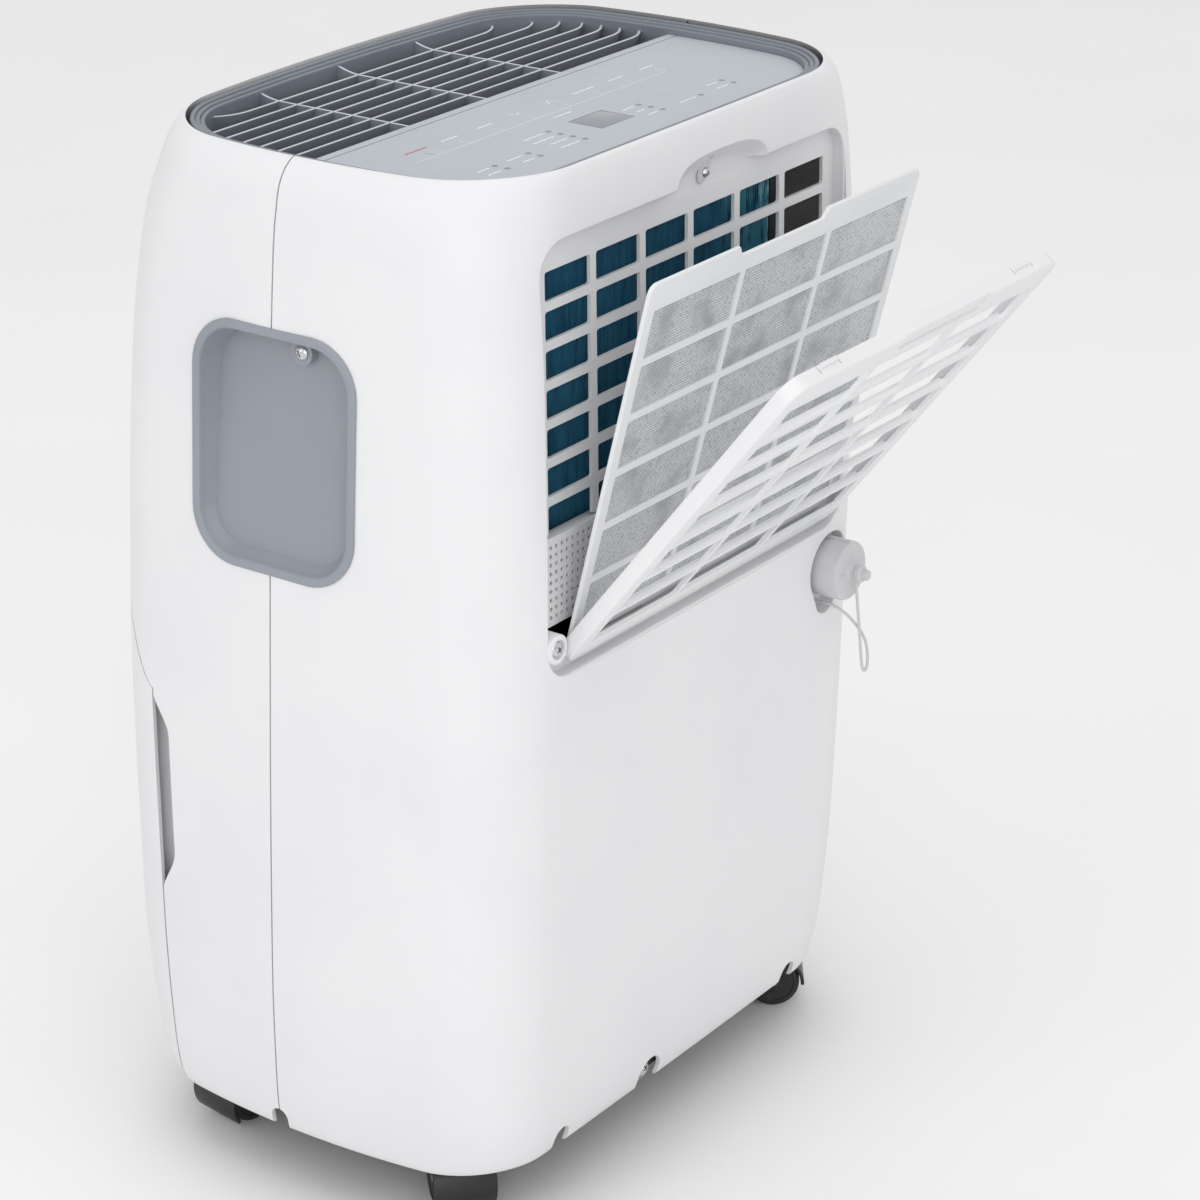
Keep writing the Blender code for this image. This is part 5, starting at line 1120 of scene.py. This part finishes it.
def make_filter():
    x0, x1 = FILTER_X
    thick, high, corner = FILTER_THICK / 2, FILTER_HEIGHT, 0.006

    def outline_at(inset):
        left, right, low, top, r = x0 + inset, x1 - inset, inset, high - inset, corner - inset
        outline = arc(right - r, low + r, r, -90, 0, 8) + arc(right - r, top - r, r, 0, 90, 8)
        outline += [(0.046 + inset, top), (0.042, top - 0.006), (-0.038, top - 0.006), (-0.042 - inset, top)]
        return outline + arc(left + r, top - r, r, 90, 180, 8) + arc(left + r, low + r, r, 180, 270, 8)

    carrier = object_from(bm_pillow(outline_at, "Y", -thick, thick, 0.0005), "looks_filter_frame",
                          "filter_white")
    window = ((x0 + 0.0075, x1 - 0.0075), (0.0080, high - 0.0160))
    cut(carrier, slots(*window, 3, 6, 0.0045, 0.0045, (-0.01, 0.01), 0.0012))
    finish_mesh(carrier, 35.0)
    carrier.data.transform(filter_place())
    placed(carrier, "filter", "filter_frame", slot="filter_white")


# --- Drain outlet, cap and tether ---
def make_drain():
    y0, y1 = CAP_Y
    centre = (DRAIN_X, DRAIN_Z)
    profile = [(y0, CAP_RADIUS - 0.0010), (y0 + 0.0003, CAP_RADIUS - 0.0003), (y0 + 0.0010, CAP_RADIUS),
               (y1 - 0.0016, CAP_RADIUS), (y1 - 0.0006, CAP_RADIUS - 0.0005), (y1, CAP_RADIUS - 0.0018),
               (y1 + 0.0001, 0.0066), (y1 + 0.0006, 0.0054), (y1 + 0.0016, 0.0044), (y1 + 0.0030, 0.0040),
               (y1 + 0.0042, 0.0040), (y1 + 0.0048, 0.0048), (y1 + 0.0054, 0.0054), (y1 + 0.0078, 0.0054),
               (y1 + 0.0084, 0.0048), (y1 + 0.0088, 0.0034), (y1 + 0.0118, 0.0032), (y1 + 0.0125, 0.0026)]
    cap = object_from(bm_turned(profile, "Y", centre, 64), "looks_drain_cap", "cap_grey")
    cut(cap, bm_turned(((y0 - 0.01, 0.0136), (y1 - 0.0040, 0.0136)), "Y", centre, 48))
    fin = bm_pillow(rounded_at((DRAIN_X - 0.0008, DRAIN_X + 0.0008), (y0 + 0.004, y1), 0.0006, 3), "Z",
                    DRAIN_Z + CAP_RADIUS - 0.001, DRAIN_Z + CAP_RADIUS + 0.0014, 0.0005)
    spot = rounded_rectangle((DRAIN_X + 0.0085, DRAIN_X + 0.0125), (DRAIN_Z - 0.0010, DRAIN_Z + 0.0010),
                             0.0008, 4)
    mark = bm_prism(spot, "Y", y1 - 0.001, y1 + 0.0003)
    join(cap, fin, mark)
    finish_mesh(cap, 35.0)
    placed(cap, "cap", "drain_cap", slot="cap_grey")
    spout = object_from(bm_turned(((0.0900, 0.0130), (0.1384, 0.0130), (0.1390, 0.0124)), "Y", centre, 48),
                        "looks_drain_spout", "cap_grey")
    join(spout, bm_turned(((0.1150, 0.0170), (0.1180, 0.0170)), "Y", centre, 48))
    cut(spout, bm_turned(((0.0800, 0.0100), (0.1500, 0.0100)), "Y", centre, 48))
    finish_mesh(spout, 35.0)
    placed(spout, "cabinet", "drain_spout", slot="cap_grey")


TETHER_ROUTE = (                  # from the knob of the cap to the pocket
    (-0.1380, 0.1491, 0.3081), (-0.1381, 0.1496, 0.3040), (-0.1386, 0.1502, 0.2960),
    (-0.1394, 0.1508, 0.2860), (-0.1402, 0.1514, 0.2760), (-0.1410, 0.1519, 0.2660),
    (-0.1420, 0.1522, 0.2570), (-0.1436, 0.1523, 0.2505), (-0.1466, 0.1522, 0.2482),
    (-0.1496, 0.1519, 0.2508), (-0.1504, 0.1514, 0.2580), (-0.1486, 0.1504, 0.2670),
    (-0.1455, 0.1486, 0.2740), (-0.1425, 0.1460, 0.2795), (-0.1400, 0.1425, 0.2842),
    (-0.1380, 0.1380, 0.2878), (-0.1362, 0.1330, 0.2900), (-0.1352, 0.1285, 0.2907),
    (-0.1350, 0.1218, 0.2907),
)


def smooth_route(route, spacing):
    """Even points along a Catmull-Rom curve through a given route."""
    points = [Vector(p) for p in route]
    padded = [2 * points[0] - points[1]] + points + [2 * points[-1] - points[-2]]
    fine = []
    for a, b, c, d in zip(padded, padded[1:], padded[2:], padded[3:]):
        for k in range(12):
            t = k / 12
            fine.append(0.5 * (2 * b + (c - a) * t + (2 * a - 5 * b + 4 * c - d) * t ** 2
                               + (3 * b - a - 3 * c + d) * t ** 3))
    fine.append(points[-1])
    even = fine[:1]
    for point in fine:
        if (point - even[-1]).length >= spacing:
            even.append(point)
    even[-1] = fine[-1]
    return even


def bm_tube(points, radius):
    """Round tube along points, carried without twist."""
    rings = []
    normal = Vector((1, 0, 0))
    for k, point in enumerate(points):
        way = (points[min(k + 1, len(points) - 1)] - points[max(k - 1, 0)]).normalized()
        normal = (normal - way * normal.dot(way)).normalized()
        binormal = way.cross(normal)
        rings.append([tuple(point + radius * (math.cos(a) * normal + math.sin(a) * binormal))
                      for a in (2 * math.pi * n / 16 for n in range(16))])
    return bm_loft(rings)


def make_tether():
    route = [p + Vector((0, SHIFT_Y, 0)) for p in smooth_route(TETHER_ROUTE, 0.0012)]
    tether = object_from(bm_tube(route, TETHER_DIAMETER / 2), "looks_cap_tether", "cap_grey", 60.0)
    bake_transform(tether)
    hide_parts("cap_tether")


# --- Bucket ---
def make_bucket():
    panel = object_from(cabinet_form(rounded=True), "looks_bucket", "shell_white")
    cut(panel, inner_form())
    keep(panel, bm_prism(bucket_side_outline(-0.0002), "X", -0.22, 0.22))
    wall = TANK_WALL
    tank = object_from(bm_prism(rounded_rectangle((-TANK_HALF, TANK_HALF), TANK_Y, 0.012, 8), "Z", *TANK_Z),
                       "tank")
    keep(tank, cabinet_form(0.0012))
    hollow = object_from(bm_prism(rounded_rectangle((-TANK_HALF + wall, TANK_HALF - wall),
                                                    (TANK_Y[0] + wall, TANK_Y[1] - wall), 0.010, 8),
                                  "Z", TANK_Z[0] + wall, TANK_Z[1] + 0.01), "hollow")
    keep(hollow, cabinet_form(0.0052))
    (c0, c1), (d0, d1), (e0, e1) = CHEEK_X, CHEEK_Y, CHEEK_Z
    cheeks = object_from(merge(bm_box((c0, d0, e0), (c1, d1, e1)), bm_box((-c1, d0, e0), (-c0, d1, e1))),
                         "cheeks")
    keep(cheeks, cabinet_form(0.0012))
    join(panel, taken(tank), taken(cheeks))
    cut(panel, taken(hollow))
    x, y, z = 0.0950, -0.0450, 0.2050
    for side in (-1, 1):
        ear_x = sorted((x + side * 0.0160, x + side * 0.0190))
        join(panel, bm_box((ear_x[0], y - 0.006, z - 0.006), (ear_x[1], TANK_Y[1] - 0.001, z + 0.006)))
    cut(panel, bm_turned(((x - 0.021, 0.0024), (x + 0.021, 0.0024)), "X", (y, z), 24))
    finish_mesh(panel, 30.0)
    follow_form(panel, reference_form())
    placed(panel, "bucket", "bucket", slot="shell_white")


# --- Coils ---
def make_coil(name, y_range, look, pitch, tube_side):
    """Fin pack: thin upright fins on level copper tubes between two end plates."""
    (x0, x1), (z0, z1), (y0, y1) = COIL_X, COIL_Z, y_range
    count = int(round((x1 - x0) / pitch))
    fins = []
    for k in range(count + 1):
        thick = END_PLATE if k in (0, count) else FIN_THICK
        x = min(x0 + (x1 - x0 - FIN_THICK) * k / count, x1 - thick)
        fins.append(bm_box((x, y0, z0), (x + thick, y1, z1)))
    pack = object_from(merge(*fins), "looks_%s_fins" % name, look, None)
    if look == "fin_blue":
        # Fins on the low-x side get the material with the painted sheen.
        pack.data.materials.append(MATERIALS["fin_painted_sheen"])
        for polygon in pack.data.polygons:
            polygon.material_index = int(polygon.center.x < SHEEN_FINS_X)
    placed(pack, "cabinet", name + "_coil", slot=look)
    tubes = []
    y = (y0 + y1) / 2 + tube_side * 0.004
    ends = ((x0 - 0.0010, TUBE_RADIUS), (x1 - 0.0002, TUBE_RADIUS))
    for row in range(TUBE_ROWS):
        tubes.append(bm_turned(ends, "X", (y, z0 + 0.0115 + row * TUBE_PITCH), 16))
    for row in range(BEND_ROWS):
        z = z0 + 0.020 + row * BEND_PITCH
        route = [Vector((x0 + 0.003 - 0.009 * math.sin(math.pi * k / 12), y,
                         z + BEND_HALF - BEND_HALF * math.cos(math.pi * k / 12))) for k in range(13)]
        tubes.append(bm_tube(route, BEND_RADIUS))
    placed(object_from(merge(*tubes), "looks_%s_tubes" % name, "copper"), "cabinet", slot="copper")


def make_coil_shade_block():
    """Black block beside the coils' bends: painted shade, set where the room there is only in shadow."""
    plan = rounded_at((-0.1560, -0.0960), (0.3900, 0.5760), 0.0040, 4)
    shade_block = object_from(bm_pillow(plan, "Y", 0.0500, 0.0640, 0.0020), "looks_coil_painted_shade", "inner_black")
    # Second black block beside the condenser: more painted shade.
    join(shade_block, bm_box((-0.1020, 0.0600, 0.3960), (-0.0925, 0.1125, 0.5740)))
    placed(shade_block, "cabinet", slot="inner_black")


# --- Casters ---
def make_caster(label, x, y, turn):
    cy, cz = -CASTER_TRAIL, WHEEL_RADIUS
    body = "caster_" + label
    place = Matrix.Translation((x, y, 0)) @ Matrix.Rotation(turn, 4, "Z")
    half = HOOD_WIDTH / 2

    def hood_at(inset):
        outer = arc(cy, cz, HOOD_RADIUS - inset, HOOD_FRONT, 180, 32)
        return outer + arc(cy, cz, HOOD_RADIUS - HOOD_WALL + inset, 180, HOOD_FRONT, 32)

    fork = object_from(bm_pillow(hood_at, "X", -half, half, 0.0007), "looks_%s_fork" % body, "caster_black")
    web = arc(cy, cz, HOOD_RADIUS - HOOD_WALL / 2, 0, 180, 24) + arc(cy, cz, 0.0080, 200, 340, 10)
    join(fork, bm_prism(web, "X", 0.0004 - WHEEL_GAP, WHEEL_GAP - 0.0004),
         bm_turned(((0.0336, 0.0088), (0.0450, 0.0088), (0.0451, 0.0040), (0.0540, 0.0040)), "Z", (0, 0), 32))
    finish_mesh(fork, 35.0)
    fork.data.transform(place)
    placed(fork, body, body + "_fork", slot="caster_black")
    reach = WHEEL_GAP + WHEEL_WIDTH
    axle = object_from(bm_turned(((-reach, 0.0024), (reach, 0.0024)), "X", (cy, cz), 24),
                       "looks_%s_axle" % body, "motor_steel")
    axle.data.transform(place)
    placed(axle, body, body + "_axle", slot="motor_steel")
    for name, side in (("inner", -1), ("outer", 1)):
        a, b = WHEEL_GAP * side, reach * side
        r = WHEEL_RADIUS
        profile = [(a, r - 0.0014), (a + side * 0.0005, r - 0.0004), (a + side * 0.0014, r),
                   (b - side * 0.0022, r), (b - side * 0.0008, r - 0.0006), (b, r - 0.0024),
                   (b - side * 0.0001, r - 0.0036),
                   (b - side * 0.0006, r - 0.0040), (b - side * 0.0006, 0.0062), (b, 0.0056), (b, 0.0034)]
        node = "%s_wheel_%s" % (body, name)
        wheel = object_from(bm_turned(profile, "X", (cy, cz), 56), "looks_" + node, "wheel_tread")
        cut(wheel, bm_turned(((min(a, b) - 0.01, 0.0028), (max(a, b) + 0.01, 0.0028)), "X", (cy, cz), 24))
        finish_mesh(wheel, 35.0)
        wheel.data.transform(place)
        placed(wheel, node, node, slot="caster_black")


def make_casters():
    for end, y in CASTER_Y.items():
        for side, sign in (("right", 1), ("left", -1)):
            label = end + "_" + side
            make_caster(label, sign * CASTER_X, y, math.radians(CASTER_TURN[label]))


# --- Frame nodes kept as they are ---
KEPT_LOOKS = {
    "base_pan": "inner_black", "bucket_cover": "tank_grey", "bucket_float": "foam_white",
    "bucket_switch": "inner_black", "compressor": "compressor_black", "compressor_foot_1": "foot_rubber",
    "compressor_foot_2": "foot_rubber", "compressor_foot_3": "foot_rubber",
    "control_board": "board_green", "discharge_pipe": "copper", "suction_pipe": "copper",
    "drain_pan": "inner_black", "fan_housing": "inner_black", "fan_impeller": "inner_black",
    "fan_motor": "motor_steel", "filter_mesh": "filter_net", "partition": "inner_black",
    "run_capacitor": "motor_steel",
}


def dress_kept_nodes():
    for name, look in KEPT_LOOKS.items():
        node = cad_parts[name]
        node.data.materials.clear()
        node.data.materials.append(MATERIALS[look])


# --- Camera, light and floor ---
LIGHT_GOAL = (0.0, 0.0, 0.32)


def make_camera():
    camera = bpy.data.cameras.new("camera")
    camera.lens, camera.sensor_width, camera.sensor_fit = 109.70, 36.0, "HORIZONTAL"
    camera.shift_x, camera.shift_y = -0.00806, -0.00859
    camera.clip_end = 30.0
    made = bpy.data.objects.new("camera", camera)
    azimuth, elevation, roll = math.radians(124.879), math.radians(22.534), math.radians(0.130)
    back = Vector((math.sin(azimuth) * math.cos(elevation), -math.cos(azimuth) * math.cos(elevation),
                   math.sin(elevation)))
    right = (-back).cross(Vector((0, 0, 1))).normalized()
    up = right.cross(-back)
    across = math.cos(roll) * right + math.sin(roll) * up
    upright = math.cos(roll) * up - math.sin(roll) * right
    place = Matrix((across, upright, back)).transposed().to_4x4()
    place.translation = (1.58508, 1.17288 + SHIFT_Y, 1.13163)
    made.matrix_world = place
    bpy.context.scene.collection.objects.link(made)
    bpy.context.scene.camera = made


def make_light(name, place, size, energy):
    light = bpy.data.lights.new(name, "AREA")
    light.shape, light.size, light.size_y, light.energy = "RECTANGLE", size[0], size[1], energy
    made = bpy.data.objects.new(name, light)
    made.location = place
    made.rotation_euler = (Vector(place) - Vector(LIGHT_GOAL)).to_track_quat("Z", "Y").to_euler()
    bpy.context.scene.collection.objects.link(made)


def make_studio():
    floor = object_from(bm_box((-6, -6, -0.02), (6, 6, 0.0)), "floor", "floor", None)
    world = bpy.data.worlds.new("studio")
    world.use_nodes = True
    world.node_tree.nodes["Background"].inputs["Color"].default_value = (1.0, 1.0, 1.0, 1.0)
    world.node_tree.nodes["Background"].inputs["Strength"].default_value = 0.74
    bpy.context.scene.world = world
    make_light("front", (2.3, 2.1, 1.3), (2.4, 2.0), 19.0)
    make_light("side", (2.8, -0.6, 1.5), (1.4, 1.8), 8.0)
    make_light("top", (-0.2, -0.4, 2.8), (2.2, 2.2), 9.0)
    sun = bpy.data.lights.new("sky", "SUN")
    sun.energy, sun.angle = 0.42, math.radians(70.0)
    above = bpy.data.objects.new("sky", sun)
    above.rotation_euler = (math.radians(-22.0), math.radians(20.0), 0.0)
    bpy.context.scene.collection.objects.link(above)
    bpy.context.scene.view_settings.view_transform = "Standard"


make_materials()
make_camera()
make_studio()
make_tether()
make_front_shell()
make_rear_shell()
make_seam_shadow_strip()
make_outlet_grille()
make_control_panel()
make_side_grip(1, "right")
make_side_grip(-1, "left")
make_screws()
make_sensor_cover()
make_flap()
make_filter()
make_drain()
make_bucket()
make_coil("evaporator", EVAPORATOR_Y, "fin_blue", 0.0018, 1)
make_coil("condenser", CONDENSER_Y, "fin_aluminium", 0.0020, -1)
make_coil_shade_block()
make_casters()
dress_kept_nodes()
